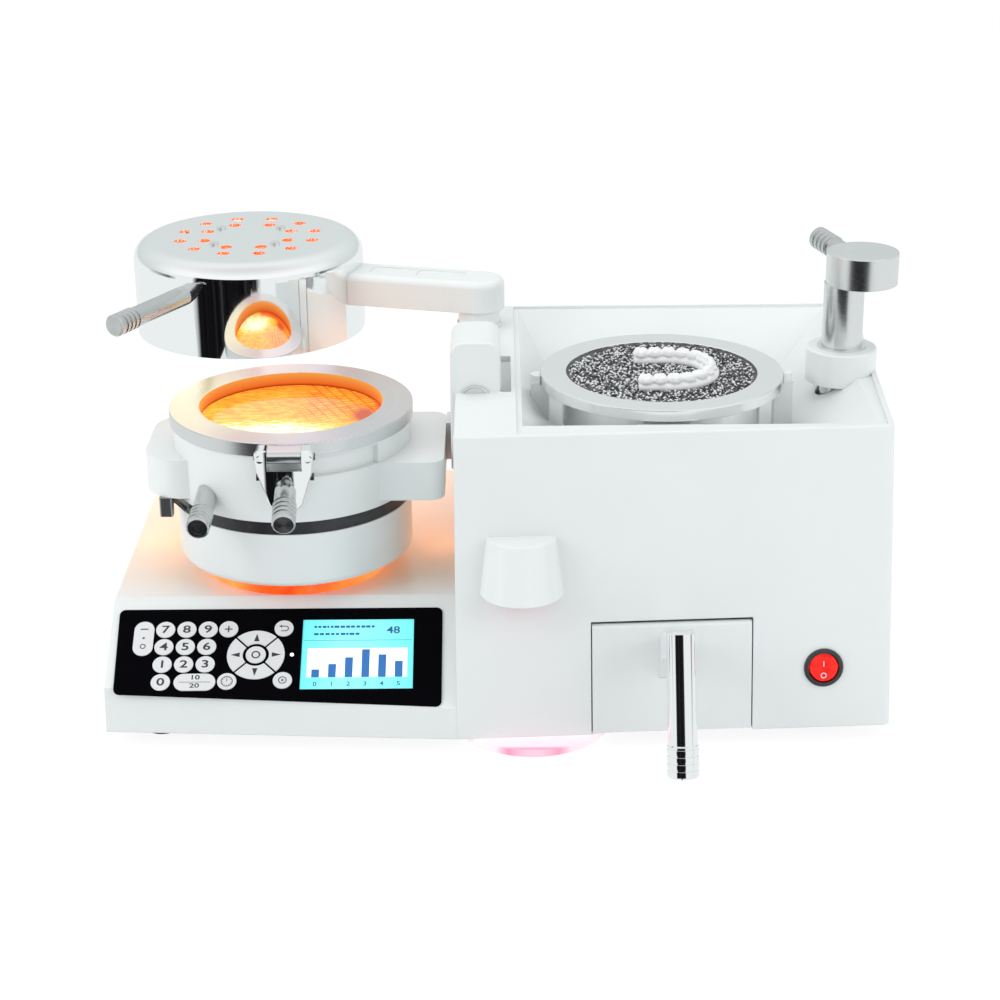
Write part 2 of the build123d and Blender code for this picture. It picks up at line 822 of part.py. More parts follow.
with BuildPart() as swing_shaft:
    with BuildSketch(Plane.XZ.offset(cap_front - mid_y)):
        with Locations((hinge_x, hinge_height)):
            Circle(shaft_head_radius)
    extrude(amount=shaft_head)
    with BuildSketch(Plane.XZ.offset(cap_front - mid_y)):
        with Locations((hinge_x, hinge_height)):
            Circle(shaft_radius)
    extrude(amount=-(cap_front + bearing_front + bearing_width))
    fillet(swing_shaft.edges().sort_by(Axis.Y)[0], 1.2)
swing_shaft.part.label = "swing_shaft"
export_step(swing_shaft.part, "parts/swing_shaft.step")

with BuildPart() as rear_bearing:
    with BuildSketch(Plane.XZ.offset(-mid_y - bearing_front - bearing_width)):
        with Locations((hinge_x, hinge_height)):
            Rectangle(2 * bearing_half, 2 * bearing_rise)
            Circle(shaft_radius, mode=Mode.SUBTRACT)
    extrude(amount=bearing_width)
rear_bearing.part.label = "rear_bearing"
export_step(rear_bearing.part, "parts/rear_bearing.step")

# Chamber casting: ring wall, swing arm, lug and hub in one piece
with BuildPart() as chamber_body:
    with BuildSketch(Plane.XY.offset(body_bottom)):
        with Locations((chamber_x, mid_y)):
            Circle(chamber_radius)
    extrude(amount=chamber_depth)
    with BuildSketch(Plane.XY.offset(arm_bottom)):
        with BuildLine():
            FilletPolyline(
                (chamber_x, mid_y - arm_front), (hinge_x - arm_root, mid_y - arm_front),
                (hinge_x - arm_root, mid_y + arm_back), (chamber_x, mid_y + arm_back),
                radius=(0.01, arm_corner, arm_corner, 0.01), close=True,
            )
        make_face()
        with BuildLine():
            FilletPolyline(
                (chamber_x, mid_y + lug_half_width), (hinge_x - lug_reach, mid_y + lug_half_width),
                (hinge_x - lug_reach, mid_y - lug_half_width), (chamber_x, mid_y - lug_half_width),
                radius=(0.01, lug_corner, lug_corner, 0.01), close=True,
            )
        make_face()
    extrude(amount=arm_thickness)
    with BuildSketch(Plane.XZ.offset(-mid_y - hub_front - hub_width)):
        with Locations((hinge_x, hinge_height)):
            Circle(hub_radius)
        with Locations((hinge_x + leg_right, arm_bottom)):
            Rectangle(leg_right + arm_root, arm_thickness, align=(Align.MAX, Align.MIN))
        with Locations((hinge_x + leg_right, arm_bottom)):
            Rectangle(leg_right + hub_radius, hinge_height - arm_bottom, align=(Align.MAX, Align.MIN))
    extrude(amount=hub_width)
    fillet(chamber_body.edges().filter_by(Axis.Y).filter_by(
        lambda e: abs(e.center().Z - arm_bottom) < 0.1 and abs(e.center().X - hinge_x - leg_right) < 0.1
    ), root_round)
    with BuildSketch(side_plane(chamber_x - knuckle_half)):
        with Locations((mid_y + ring_hinge_y, ring_hinge_z)):
            Circle(knuckle_radius)
        with Locations((mid_y + ring_hinge_y - knuckle_radius, ring_hinge_z)):
            Rectangle(2 * knuckle_radius, 2 * knuckle_radius)
    extrude(amount=2 * knuckle_half)
    with BuildSketch(Plane.XY.offset(body_bottom - 1)):
        with Locations((chamber_x, mid_y)):
            Circle(chamber_bore)
    extrude(amount=chamber_depth + 2, mode=Mode.SUBTRACT)
    with BuildSketch(Plane.XY.offset(body_top - foil_thickness)):
        with Locations((chamber_x, mid_y)):
            Circle(foil_radius + foil_clearance)
    extrude(amount=foil_thickness, mode=Mode.SUBTRACT)
    with BuildSketch(Plane.XZ.offset(-mid_y - hub_front - hub_width)):
        with Locations((hinge_x, hinge_height)):
            Circle(bush_radius)
    extrude(amount=hub_width, mode=Mode.SUBTRACT)
    for side in (-1, 1):
        with BuildSketch(side_plane(chamber_x + side * ear_middle - ear_width / 2 - ear_play)):
            with Locations((mid_y + ring_hinge_y, ring_hinge_z)):
                Circle(knuckle_radius + 0.5)
            with Locations((mid_y + ring_hinge_y - knuckle_radius - 0.5, ring_hinge_z)):
                Rectangle(3 * knuckle_radius, 2 * knuckle_radius, align=(Align.MIN, Align.MIN))
        extrude(amount=ear_width + 2 * ear_play, mode=Mode.SUBTRACT)
    with BuildSketch(side_plane(chamber_x - knuckle_half)):
        with Locations((mid_y + ring_hinge_y, ring_hinge_z)):
            Circle(hinge_pin_radius)
    extrude(amount=2 * knuckle_half, mode=Mode.SUBTRACT)
    with BuildSketch(Plane.XY.offset(arm_top)):
        with Locations((chamber_x, mid_y)):
            Circle(chamber_radius + 1)
            Circle(chamber_radius - band_depth, mode=Mode.SUBTRACT)
        with BuildLine():
            corners = [
                (chamber_x + 3 * chamber_radius * cos(radians(turn)),
                 mid_y + 3 * chamber_radius * sin(radians(turn)))
                for turn in (band_from, band_to)
            ]
            Polyline((chamber_x, mid_y), *corners, close=True)
        make_face(mode=Mode.INTERSECT)
    extrude(amount=body_top - band_top - arm_top, mode=Mode.SUBTRACT)
    with BuildSketch(Plane(origin=chamber_grip_start, z_dir=chamber_grip_aim)):
        Circle(grip_neck)
    extrude(amount=40, mode=Mode.SUBTRACT)
chamber_body.part.label = "chamber_body"
export_step(chamber_body.part, "parts/chamber_body.step")

# Clamp ring with its tongue at the front and its ears at the back
with BuildPart() as clamp_ring:
    with BuildSketch(Plane.XY.offset(body_top)):
        with Locations((chamber_x, mid_y)):
            Circle(ring_radius)
            Circle(ring_bore, mode=Mode.SUBTRACT)
    extrude(amount=ring_thickness)
    fillet(clamp_ring.edges().filter_by(GeomType.CIRCLE).group_by(Axis.Z)[-1], 0.8)
    with BuildSketch(side_plane(lever_x - tongue_half)):
        with Locations((mid_y - lever_pivot_y, lever_z)):
            Circle(ring_z - 1 - lever_z)
        with BuildLine():
            Polyline(
                (mid_y - lever_pivot_y, body_top), (mid_y - ring_radius + 4, body_top),
                (mid_y - ring_radius + 4, ring_z - 1), (mid_y - lever_pivot_y, ring_z - 1), close=True,
            )
        make_face()
    extrude(amount=2 * tongue_half)
    for side in (-1, 1):
        with BuildSketch(side_plane(chamber_x + side * ear_middle - ear_width / 2)):
            with Locations((mid_y + ring_hinge_y, ring_hinge_z)):
                Circle(knuckle_radius)
            with Locations((mid_y + ring_hinge_y, ring_hinge_z)):
                Rectangle(2 * knuckle_radius, ring_hinge_drop + 2, align=(Align.CENTER, Align.MIN))
        extrude(amount=ear_width)
    with BuildSketch(side_plane(chamber_x - ear_middle - ear_width)):
        with Locations((mid_y + ring_hinge_y, ring_hinge_z)):
            Circle(hinge_pin_radius + running_gap)
    extrude(amount=2 * (ear_middle + ear_width), mode=Mode.SUBTRACT)
    with BuildSketch(side_plane(lever_x - lever_half_width)):
        with Locations((mid_y - lever_pivot_y, lever_z)):
            Circle(lever_pin_radius + running_gap)
    extrude(amount=2 * lever_half_width, mode=Mode.SUBTRACT)
clamp_ring.part.label = "clamp_ring"
export_step(clamp_ring.part, "parts/clamp_ring.step")

with BuildPart() as ring_hinge_pin:
    with BuildSketch(side_plane(chamber_x - ear_middle - ear_width / 2)):
        with Locations((mid_y + ring_hinge_y, ring_hinge_z)):
            Circle(hinge_pin_radius)
    extrude(amount=2 * ear_middle + ear_width)
ring_hinge_pin.part.label = "ring_hinge_pin"
export_step(ring_hinge_pin.part, "parts/ring_hinge_pin.step")

# The foil under the ring, the seal and the dish of the pressure chamber, and the ring it rests on
with BuildPart() as foil_disc:
    with BuildSketch(Plane.XY.offset(body_top - foil_thickness)):
        with Locations((chamber_x, mid_y)):
            Circle(foil_radius)
    extrude(amount=foil_thickness)
foil_disc.part.label = "foil_disc"
export_step(foil_disc.part, "parts/foil_disc.step")

with BuildPart() as chamber_seal:
    with BuildSketch(Plane.XY.offset(seal_bottom)):
        with Locations((chamber_x, mid_y)):
            Circle(seal_radius)
            Circle(chamber_bore, mode=Mode.SUBTRACT)
    extrude(amount=seal_thickness)
chamber_seal.part.label = "chamber_seal"
export_step(chamber_seal.part, "parts/chamber_seal.step")

with BuildPart() as chamber_dish:
    with BuildSketch(Plane.XY.offset(dish_bottom)):
        with Locations((chamber_x, mid_y)):
            Circle(dish_radius)
    extrude(amount=dish_height)
    fillet(chamber_dish.edges().group_by(Axis.Z)[0], dish_round)
    with BuildSketch(Plane.XY.offset(dish_bottom + dish_floor)):
        with Locations((chamber_x, mid_y)):
            Circle(chamber_bore)
    extrude(amount=dish_height, mode=Mode.SUBTRACT)
chamber_dish.part.label = "chamber_dish"
export_step(chamber_dish.part, "parts/chamber_dish.step")

with BuildPart() as rest_ring:
    with BuildSketch(Plane.XY.offset(base_top)):
        with Locations((chamber_x, mid_y)):
            Circle(rest_ring_radius)
            Circle(rest_ring_radius - rest_ring_wall, mode=Mode.SUBTRACT)
    extrude(amount=rest_ring_height)
rest_ring.part.label = "rest_ring"
export_step(rest_ring.part, "parts/rest_ring.step")

# Under the lug: a wear plate that slides under the locking head, and the catch with its bent strip
catch_x = hinge_x - lug_reach + catch_inset
catch_y = mid_y - lug_half_width + catch_edge
with BuildPart() as wear_plate:
    inset = wear_plate_inset
    with BuildSketch(Plane.XY.offset(arm_bottom)):
        with BuildLine():
            FilletPolyline(
                (chamber_x, mid_y + lug_half_width - inset),
                (hinge_x - lug_reach + inset, mid_y + lug_half_width - inset),
                (hinge_x - lug_reach + inset, mid_y - lug_half_width + inset),
                (chamber_x, mid_y - lug_half_width + inset),
                radius=(0.01, lug_corner - inset, lug_corner - inset, 0.01), close=True,
            )
        make_face()
        with Locations((chamber_x, mid_y)):
            Circle(chamber_radius + plate_clearance, mode=Mode.SUBTRACT)
        with Locations((catch_x, catch_y)):
            Rectangle(catch_size[0] + 1, catch_size[1] + 1, mode=Mode.SUBTRACT)
    extrude(amount=-wear_plate_thickness)
wear_plate.part.label = "wear_plate"
export_step(wear_plate.part, "parts/wear_plate.step")

with BuildPart() as lug_catch:
    with BuildSketch(Plane.XY.offset(arm_bottom)):
        with Locations((catch_x, catch_y)):
            RectangleRounded(*catch_size, 1.5)
    extrude(amount=-catch_height)
    with BuildSketch(Plane.XZ.offset(catch_strip / 2 - catch_y)):
        with BuildLine():
            FilletPolyline(
                (catch_x, arm_bottom - 2), (catch_x + 6, arm_bottom - 2),
                (catch_x + 13, arm_bottom - 9), (catch_x + 12, arm_bottom - 10.2),
                (catch_x + 5.3, arm_bottom - 3.6), (catch_x, arm_bottom - 3.6),
                radius=(0.1, 1.5, 0.2, 0.2, 1.0, 0.1), close=True,
            )
        make_face()
    extrude(amount=-catch_strip)
lug_catch.part.label = "lug_catch"
export_step(lug_catch.part, "parts/lug_catch.step")

with BuildPart() as chamber_grip:
    add(grip_rod(chamber_grip_start, chamber_grip_aim, chamber_grip_length, grip_radius, grip_neck))
chamber_grip.part.label = "chamber_grip"
export_step(chamber_grip.part, "parts/chamber_grip.step")

with BuildPart() as hub_bush:
    with BuildSketch(Plane.XZ.offset(-mid_y - hub_front - hub_width)):
        with Locations((hinge_x, hinge_height)):
            Circle(bush_radius)
            Circle(shaft_radius + running_gap, mode=Mode.SUBTRACT)
    extrude(amount=hub_width)
hub_bush.part.label = "hub_bush"
export_step(hub_bush.part, "parts/hub_bush.step")

# Clamp lever at the front, hanging from the ring's tongue
lever_top = lever_z + lever_head_radius
with BuildPart() as clamp_lever:
    with BuildSketch(Plane.XZ.offset(lever_pivot_y - mid_y)):
        with BuildLine():
            FilletPolyline(
                (lever_x - lever_half_width, lever_top), (lever_x + lever_half_width, lever_top),
                (lever_x + lever_half_width - 1.5, lever_z - 9),
                (lever_x + lever_foot_half, lever_z - lever_length),
                (lever_x - lever_foot_half, lever_z - lever_length),
                (lever_x - lever_half_width + 1.5, lever_z - 9),
                radius=(3, 3, 6, 7, 7, 6), close=True,
            )
        make_face()
    extrude(amount=lever_depth / 2, both=True)
    with BuildSketch(Plane.XZ.offset(lever_pivot_y - mid_y)):
        with Locations((lever_x, lever_z - lever_slot_drop)):
            Rectangle(2 * lever_slot_half, 3 * lever_slot_drop, align=(Align.CENTER, Align.MIN))
    extrude(amount=lever_depth, both=True, mode=Mode.SUBTRACT)
    front_edges = clamp_lever.faces().sort_by(Axis.Y)[0].edges()
    fillet(front_edges.filter_by(lambda e: abs(e.center().X - lever_x) > lever_slot_half + 1), 1.2)
    with BuildSketch(Plane.XZ.offset(lever_pivot_y + lever_depth / 2 - mid_y)):
        with Locations((lever_x, lever_z - lever_slot_drop - 4)):
            RectangleRounded(2 * lever_groove_half, 16, 2, align=(Align.CENTER, Align.MAX))
    extrude(amount=-lever_groove_depth, mode=Mode.SUBTRACT)
    for side in (-1, 1):
        with BuildSketch(Plane.XZ.offset(lever_pivot_y + lever_depth / 2 - mid_y)):
            with Locations((lever_x + side * (lever_half_width + lever_slot_half) / 2, lever_z)):
                Circle(lever_screw_radius)
        extrude(amount=-1.2, mode=Mode.SUBTRACT)
    for height, radius, half in (
        (lever_z, lever_pin_radius, lever_half_width),
        (lever_z - lever_cross_pin_drop, lever_pin_radius, lever_cross_pin_half),
    ):
        with BuildSketch(side_plane(lever_x - half)):
            with Locations((mid_y - lever_pivot_y, height)):
                Circle(radius)
        extrude(amount=2 * half, mode=Mode.SUBTRACT)
    with BuildSketch(lever_grip_seat):
        Circle(grip_neck)
    extrude(amount=20, mode=Mode.SUBTRACT)
clamp_lever.part.label = "clamp_lever"
export_step(clamp_lever.part, "parts/clamp_lever.step")

with BuildPart() as lever_pins:
    for height, radius, half in (
        (lever_z, lever_pin_radius, lever_half_width),
        (lever_z - lever_cross_pin_drop, lever_pin_radius, lever_cross_pin_half),
    ):
        with BuildSketch(side_plane(lever_x - half)):
            with Locations((mid_y - lever_pivot_y, height)):
                Circle(radius)
        extrude(amount=2 * half)
lever_pins.part.label = "lever_pins"
export_step(lever_pins.part, "parts/lever_pins.step")

with BuildPart() as lever_grip:
    add(grip_rod(lever_grip_start, lever_grip_aim, lever_grip_length, grip_radius, grip_neck))
lever_grip.part.label = "lever_grip"
export_step(lever_grip.part, "parts/lever_grip.step")

# Lamp: post, arm, hood, grip, screws, carrier and the two ring-shaped heating tubes
lamp_arm_bottom = lamp_arm_top - lamp_arm_thickness
with BuildPart() as lamp_post:
    with BuildSketch(Plane.XY.offset(housing_top)):
        with Locations((lamp_x, lamp_post_y)):
            Circle(post_flange_radius)
    extrude(amount=post_flange)
    with BuildSketch(Plane.XY.offset(housing_top)):
        with Locations((lamp_x, lamp_post_y)):
            Circle(post_radius)
    extrude(amount=lamp_arm_bottom - lamp_arm_gap - housing_top)
    with BuildSketch(Plane.XY.offset(housing_top)):
        with Locations((lamp_x, lamp_post_y)):
            Circle(spindle_radius)
    extrude(amount=lamp_arm_bottom + spindle_rise - housing_top)
lamp_post.part.label = "lamp_post"
export_step(lamp_post.part, "parts/lamp_post.step")

with BuildPart() as lamp_arm:
    with BuildSketch(Plane.XY.offset(lamp_arm_bottom)):
        with Locations((lamp_x, lamp_post_y)):
            Circle(lamp_arm_radius)
        with Locations(((lamp_x + hood_x) / 2, (lamp_post_y + hood_y) / 2)):
            Rectangle(arm_length, 2 * lamp_arm_radius, rotation=degrees(stow_angle))
    extrude(amount=lamp_arm_thickness)
    fillet(lamp_arm.faces().sort_by(Axis.Z)[-1].edges(), lamp_arm_round)
    for station in (0.16, 0.36):
        with BuildSketch(Plane.XY.offset(lamp_arm_top)):
            with Locations((
                lamp_x + (hood_x - lamp_x) * station, lamp_post_y + (hood_y - lamp_post_y) * station,
            )):
                RectangleRounded(arm_plate_length, arm_plate_width, 3, rotation=degrees(stow_angle))
        extrude(amount=-arm_plate_thickness, mode=Mode.SUBTRACT)
    with BuildSketch(Plane.XY.offset(lamp_arm_bottom - 1)):
        with Locations((hood_x, hood_y)):
            Circle(hood_radius)
    extrude(amount=lamp_arm_thickness + 2, mode=Mode.SUBTRACT)
    with BuildSketch(Plane.XY.offset(lamp_arm_bottom)):
        with Locations((lamp_x, lamp_post_y)):
            Circle(spindle_radius + running_gap)
    extrude(amount=spindle_rise + lamp_arm_gap, mode=Mode.SUBTRACT)
lamp_arm.part.label = "lamp_arm"
export_step(lamp_arm.part, "parts/lamp_arm.step")

with BuildPart() as hood_space:
    with BuildSketch(Plane.XY.offset(hood_bottom - 1)):
        with Locations((hood_x, hood_y)):
            Circle(hood_radius - hood_wall)
    extrude(amount=hood_height - hood_wall + 1)
    fillet(hood_space.edges().group_by(Axis.Z)[-1], hood_round - hood_wall)
with BuildPart() as lamp_hood:
    with BuildSketch(Plane.XY.offset(hood_bottom)):
        with Locations((hood_x, hood_y)):
            Circle(hood_radius)
    extrude(amount=hood_height)
    fillet(lamp_hood.edges().group_by(Axis.Z)[-1], hood_round)
    add(hood_space.part, mode=Mode.SUBTRACT)
    with BuildSketch(Plane.XY.offset(hood_top + 1)):
        with Locations((hood_x, hood_y)):
            with PolarLocations(outer_holes_circle, outer_holes, start_angle=180 / outer_holes):
                Circle(hood_hole_radius)
            with PolarLocations(inner_holes_circle, inner_holes, start_angle=180 / inner_holes):
                Circle(hood_hole_radius)
            with PolarLocations(hood_screw_circle, 4, start_angle=45):
                Circle(hood_screw_radius)
    extrude(amount=-hood_wall - 2, mode=Mode.SUBTRACT)
    with BuildSketch(lamp_grip_seat):
        Circle(grip_neck)
    extrude(amount=20, mode=Mode.SUBTRACT)
lamp_hood.part.label = "lamp_hood"
export_step(lamp_hood.part, "parts/lamp_hood.step")

with BuildPart() as lamp_grip:
    add(grip_rod(lamp_grip_start, lamp_grip_aim, lamp_grip_length, grip_radius, grip_neck, hood_wall))
lamp_grip.part.label = "lamp_grip"
export_step(lamp_grip.part, "parts/lamp_grip.step")

with BuildPart() as hood_screws:
    with BuildSketch(Plane.XY.offset(hood_top)):
        with Locations((hood_x, hood_y)):
            with PolarLocations(hood_screw_circle, 4, start_angle=45):
                Circle(hood_screw_head)
    extrude(amount=hood_screw_rise)
    with BuildSketch(Plane.XY.offset(hood_top)):
        with Locations((hood_x, hood_y)):
            with PolarLocations(hood_screw_circle, 4, start_angle=45):
                Circle(hood_screw_radius)
    extrude(amount=-carrier_drop)
hood_screws.part.label = "hood_screws"
export_step(hood_screws.part, "parts/hood_screws.step")

carrier_y = hood_screw_circle * sin(radians(45))
with BuildPart() as tube_carrier:
    with BuildSketch(Plane.XY.offset(hood_top - carrier_drop)):
        with Locations((hood_x, hood_y - carrier_y), (hood_x, hood_y + carrier_y)):
            Rectangle(carrier_length, carrier_width)
        with Locations((hood_x, hood_y)):
            Rectangle(carrier_width, 2 * carrier_y)
    extrude(amount=-carrier_thickness)
    for circle in tube_circles:
        across = (circle ** 2 - carrier_y ** 2) ** 0.5
        with BuildSketch(Plane.XY.offset(hood_top - carrier_drop)):
            with Locations((hood_x, hood_y)):
                with GridLocations(2 * across, 2 * carrier_y, 2, 2):
                    Circle(carrier_post_radius)
        extrude(amount=-(tube_drop - carrier_drop - tube_radius - tube_gap))
tube_carrier.part.label = "tube_carrier"
export_step(tube_carrier.part, "parts/tube_carrier.step")

with BuildPart() as heating_tubes:
    for circle in tube_circles:
        with BuildSketch(upright(hood_x, hood_y)):
            with Locations((circle, hood_top - tube_drop)):
                Circle(tube_radius)
        revolve(axis=Axis((hood_x, hood_y, 0), (0, 0, 1)))
heating_tubes.part.label = "heating_tubes"
export_step(heating_tubes.part, "parts/heating_tubes.step")

# Hopper liner: a funnel with the column's boss, two half-round rests for the cup's rim and a front tab
liner_top = housing_top - hopper_rim_drop


def funnel(grow, top, floor):
    """The space of the funnel, its four sides moved out by grow, from the floor up to the top."""
    with BuildPart() as space:
        for height, left, right, front, back in (
            (top, hopper_left + hopper_margin, hopper_right, hopper_front, back_y - wall - hopper_margin),
            (floor, chamber_reach - hopper_floor_half, chamber_reach + hopper_floor_half,
             hopper_floor_half, hopper_floor_half),
        ):
            with BuildSketch(Plane.XY.offset(height)):
                with Locations((hinge_x + left - grow, mid_y - front - grow)):
                    Rectangle(right - left + 2 * grow, front + back + 2 * grow,
                              align=(Align.MIN, Align.MIN))
        loft(ruled=True)
    return space.part


liner_plate = trimmed_block(
    hinge_x + hopper_left, hinge_x + right_wall + 40, back_y - wall, liner_top - hopper_wall, liner_top,
    [housing_front.offset(-wall), housing_side.offset(-wall)],
)
outer_funnel = funnel(hopper_wall, liner_top - hopper_wall / 2, hopper_floor - hopper_wall)
inner_funnel = funnel(0, liner_top, hopper_floor)
tall_funnel = funnel(0, liner_top, hopper_floor)
with BuildPart() as rim_rests:
    with BuildSketch(Plane.XY.offset(hopper_floor)):
        for side in (-1, 1):
            with Locations((cup_x + side * (cup_rim_radius + ear_clearance), mid_y)):
                Circle(ear_radius)
                Rectangle(2 * ear_radius, 2 * ear_radius, align=(Align.CENTER, Align.CENTER))
    extrude(amount=liner_top - hopper_floor)
    with BuildSketch(Plane.XZ.offset(tab_front - mid_y)):
        with BuildLine():
            Polyline(
                (cup_x - tab_half, housing_top - tab_drop), (cup_x + tab_half, housing_top - tab_drop),
                (cup_x + tab_foot_half, hopper_floor), (cup_x - tab_foot_half, hopper_floor), close=True,
            )
        make_face()
    extrude(amount=-tab_depth)
    with BuildSketch(Plane.XY.offset(cup_z - cup_rim - ear_clearance)):
        with Locations((cup_x, mid_y)):
            Circle(cup_rim_radius + ear_clearance)
    extrude(amount=cup_rim + 5, mode=Mode.SUBTRACT)
    with BuildSketch(Plane.XY.offset(hopper_floor)):
        with Locations((cup_x, mid_y)):
            Circle(cup_bore + cup_wall + 3)
    extrude(amount=cup_z, mode=Mode.SUBTRACT)
    add(tall_funnel, mode=Mode.INTERSECT)
with BuildPart() as rest_ears:
    with BuildSketch(Plane.XY.offset(liner_top - 2)):
        for side in (-1, 1):
            with Locations((cup_x + side * (cup_rim_radius + ear_clearance), mid_y)):
                Circle(ear_radius)
        with Locations((cup_x, mid_y)):
            Circle(cup_rim_radius + ear_clearance, mode=Mode.SUBTRACT)
    extrude(amount=housing_top + ear_rise - liner_top + 2)
with BuildPart() as hopper_liner:
    add(liner_plate)
    add(outer_funnel)
    add(inner_funnel, mode=Mode.SUBTRACT)
    add(rim_rests.part)
    add(rest_ears.part)
    with BuildSketch(Plane.XY.offset(boss_bottom)):
        with Locations((column_x, column_post_y)):
            Circle(boss_radius)
    extrude(amount=boss_top - boss_bottom)
    with BuildSketch(Plane.XY.offset(hopper_floor)):
        with Locations((column_x, column_post_y)):
            Circle(column_bush_radius)
    extrude(amount=boss_top, mode=Mode.SUBTRACT)
    fillet(
        hopper_liner.edges().filter_by(GeomType.CIRCLE).group_by(Axis.Z)[-1].sort_by(Edge.length)[-1], 1.5,
    )
hopper_liner.part.label = "hopper_liner"
export_step(hopper_liner.part, "parts/hopper_liner.step")

with BuildPart() as cup_seat:
    with BuildSketch(Plane.XY.offset(hopper_floor)):
        with Locations((cup_x, mid_y)):
            Circle(seat_outer)
            Circle(seat_inner, mode=Mode.SUBTRACT)
    extrude(amount=seat_height)
cup_seat.part.label = "cup_seat"
export_step(cup_seat.part, "parts/cup_seat.step")

# Model cup, its pellets and the plaster arch that stands in them
with BuildPart() as model_cup:
    with BuildSketch(upright(cup_x, mid_y)):
        with BuildLine():
            outer = cup_bore + cup_wall
            FilletPolyline(
                (0, cup_bottom), (outer, cup_bottom), (outer, cup_z - cup_rim),
                (cup_rim_radius, cup_z - cup_rim), (cup_rim_radius, cup_z), (cup_bore, cup_z),
                (cup_bore, cup_bottom + cup_floor), (0, cup_bottom + cup_floor),
                radius=(0.01, cup_foot_round, 1.0, 0.6, 0.8, 0.6, cup_foot_round - cup_wall, 0.01),
                close=True,
            )
        make_face()
    revolve(axis=Axis((cup_x, mid_y, 0), (0, 0, 1)))
model_cup.part.label = "model_cup"
export_step(model_cup.part, "parts/model_cup.step")

pellet_top = cup_z - pellet_drop
with BuildPart() as pellet_fill:
    with BuildSketch(upright(cup_x, mid_y)):
        with BuildLine():
            FilletPolyline(
                (0, cup_bottom + cup_floor), (cup_bore - pellet_gap, cup_bottom + cup_floor),
                (cup_bore - pellet_gap, pellet_top), (0, pellet_top),
                radius=(0.01, cup_foot_round - cup_wall, 0.01, 0.01), close=True,
            )
        make_face()
    revolve(axis=Axis((cup_x, mid_y, 0), (0, 0, 1)))
pellet_fill.part.label = "pellet_fill"
export_step(pellet_fill.part, "parts/pellet_fill.step")

# The arch is a U that opens to the left; its teeth stand square to it, incisors at the bend
arch_x = cup_x + arch_offset[0]
arch_y = mid_y + arch_offset[1]
bend_length = pi * arch_radius
path_length = bend_length + 2 * arch_leg
tooth_top = cup_z + arch_rise
gum_top = pellet_top + gum_height
with BuildPart() as tooth_arch:
    with BuildSketch(Plane.XY.offset(pellet_top)):
        with Locations((arch_x, arch_y)):
            Circle(arch_radius + arch_width / 2)
            Rectangle(arch_leg, 2 * arch_radius + arch_width, align=(Align.MAX, Align.CENTER))
        with Locations((arch_x, arch_y)):
            Circle(arch_radius - arch_width / 2, mode=Mode.SUBTRACT)
            Rectangle(arch_leg + arch_radius, 2 * arch_radius - arch_width,
                      align=(Align.MAX, Align.CENTER), mode=Mode.SUBTRACT)
    extrude(amount=gum_height, taper=6)
    for tooth in range(tooth_count):
        along = (tooth + 0.5) / tooth_count * path_length
        if along < arch_leg:
            spot, turn = (-arch_leg + along, -arch_radius), 0
        elif along > path_length - arch_leg:
            spot, turn = (path_length - arch_leg - along, arch_radius), 180
        else:
            swing = (along - arch_leg) / arch_radius - pi / 2
            spot, turn = (arch_radius * cos(swing), arch_radius * sin(swing)), degrees(swing) + 90
        molar = abs(along - path_length / 2) / (path_length / 2)
        breadth = arch_width * (0.42 + 0.34 * molar)
        length = path_length / tooth_count - tooth_gap
        for height, less in ((gum_top - 1, 0), (tooth_top - molar_drop * molar, tooth_taper)):
            with BuildSketch(Plane.XY.offset(height)):
                with Locations((arch_x + spot[0], arch_y + spot[1])):
                    RectangleRounded(length - less, breadth - less, 1.2, rotation=turn)
        loft(ruled=True)
tooth_arch.part.label = "tooth_arch"
export_step(tooth_arch.part, "parts/tooth_arch.step")

# Locking column: bush, turning head, its grip, and the yoke that pulls it down
with BuildPart() as column_bush:
    with BuildSketch(Plane.XY.offset(boss_bottom)):
        with Locations((column_x, column_post_y)):
            Circle(column_bush_radius)
            Circle(column_radius + running_gap, mode=Mode.SUBTRACT)
    extrude(amount=boss_top + column_bush_proud - boss_bottom)
column_bush.part.label = "column_bush"
export_step(column_bush.part, "parts/column_bush.step")

spigot_length = nut_height + yoke_thickness + 2 * yoke_end_gap
with BuildPart() as locking_column:
    with BuildSketch(Plane.XY.offset(column_bottom)):
        with Locations((column_x, column_post_y)):
            Circle(spigot_radius)
    extrude(amount=spigot_length)
    with BuildSketch(Plane.XY.offset(column_bottom)):
        with Locations((column_x, column_post_y)):
            RegularPolygon(nut_radius, 6)
    extrude(amount=nut_height)
    with BuildSketch(Plane.XY.offset(column_bottom + spigot_length)):
        with Locations((column_x, column_post_y)):
            Circle(column_radius)
    extrude(amount=head_bottom - column_bottom - spigot_length)
    with BuildSketch(Plane.XY.offset(head_bottom)):
        with Locations((column_x + head_offset, column_post_y)):
            Circle(head_radius)
    extrude(amount=head_thickness)
    fillet(locking_column.edges().filter_by(GeomType.CIRCLE).group_by(Axis.Z)[-1], 0.8)
    with BuildSketch(head_grip_seat):
        Circle(grip_neck)
    extrude(amount=40, mode=Mode.SUBTRACT)
locking_column.part.label = "locking_column"
export_step(locking_column.part, "parts/locking_column.step")

with BuildPart() as head_grip:
    add(grip_rod(head_grip_start, head_grip_aim, head_grip_length, grip_radius, grip_neck))
head_grip.part.label = "head_grip"
export_step(head_grip.part, "parts/head_grip.step")

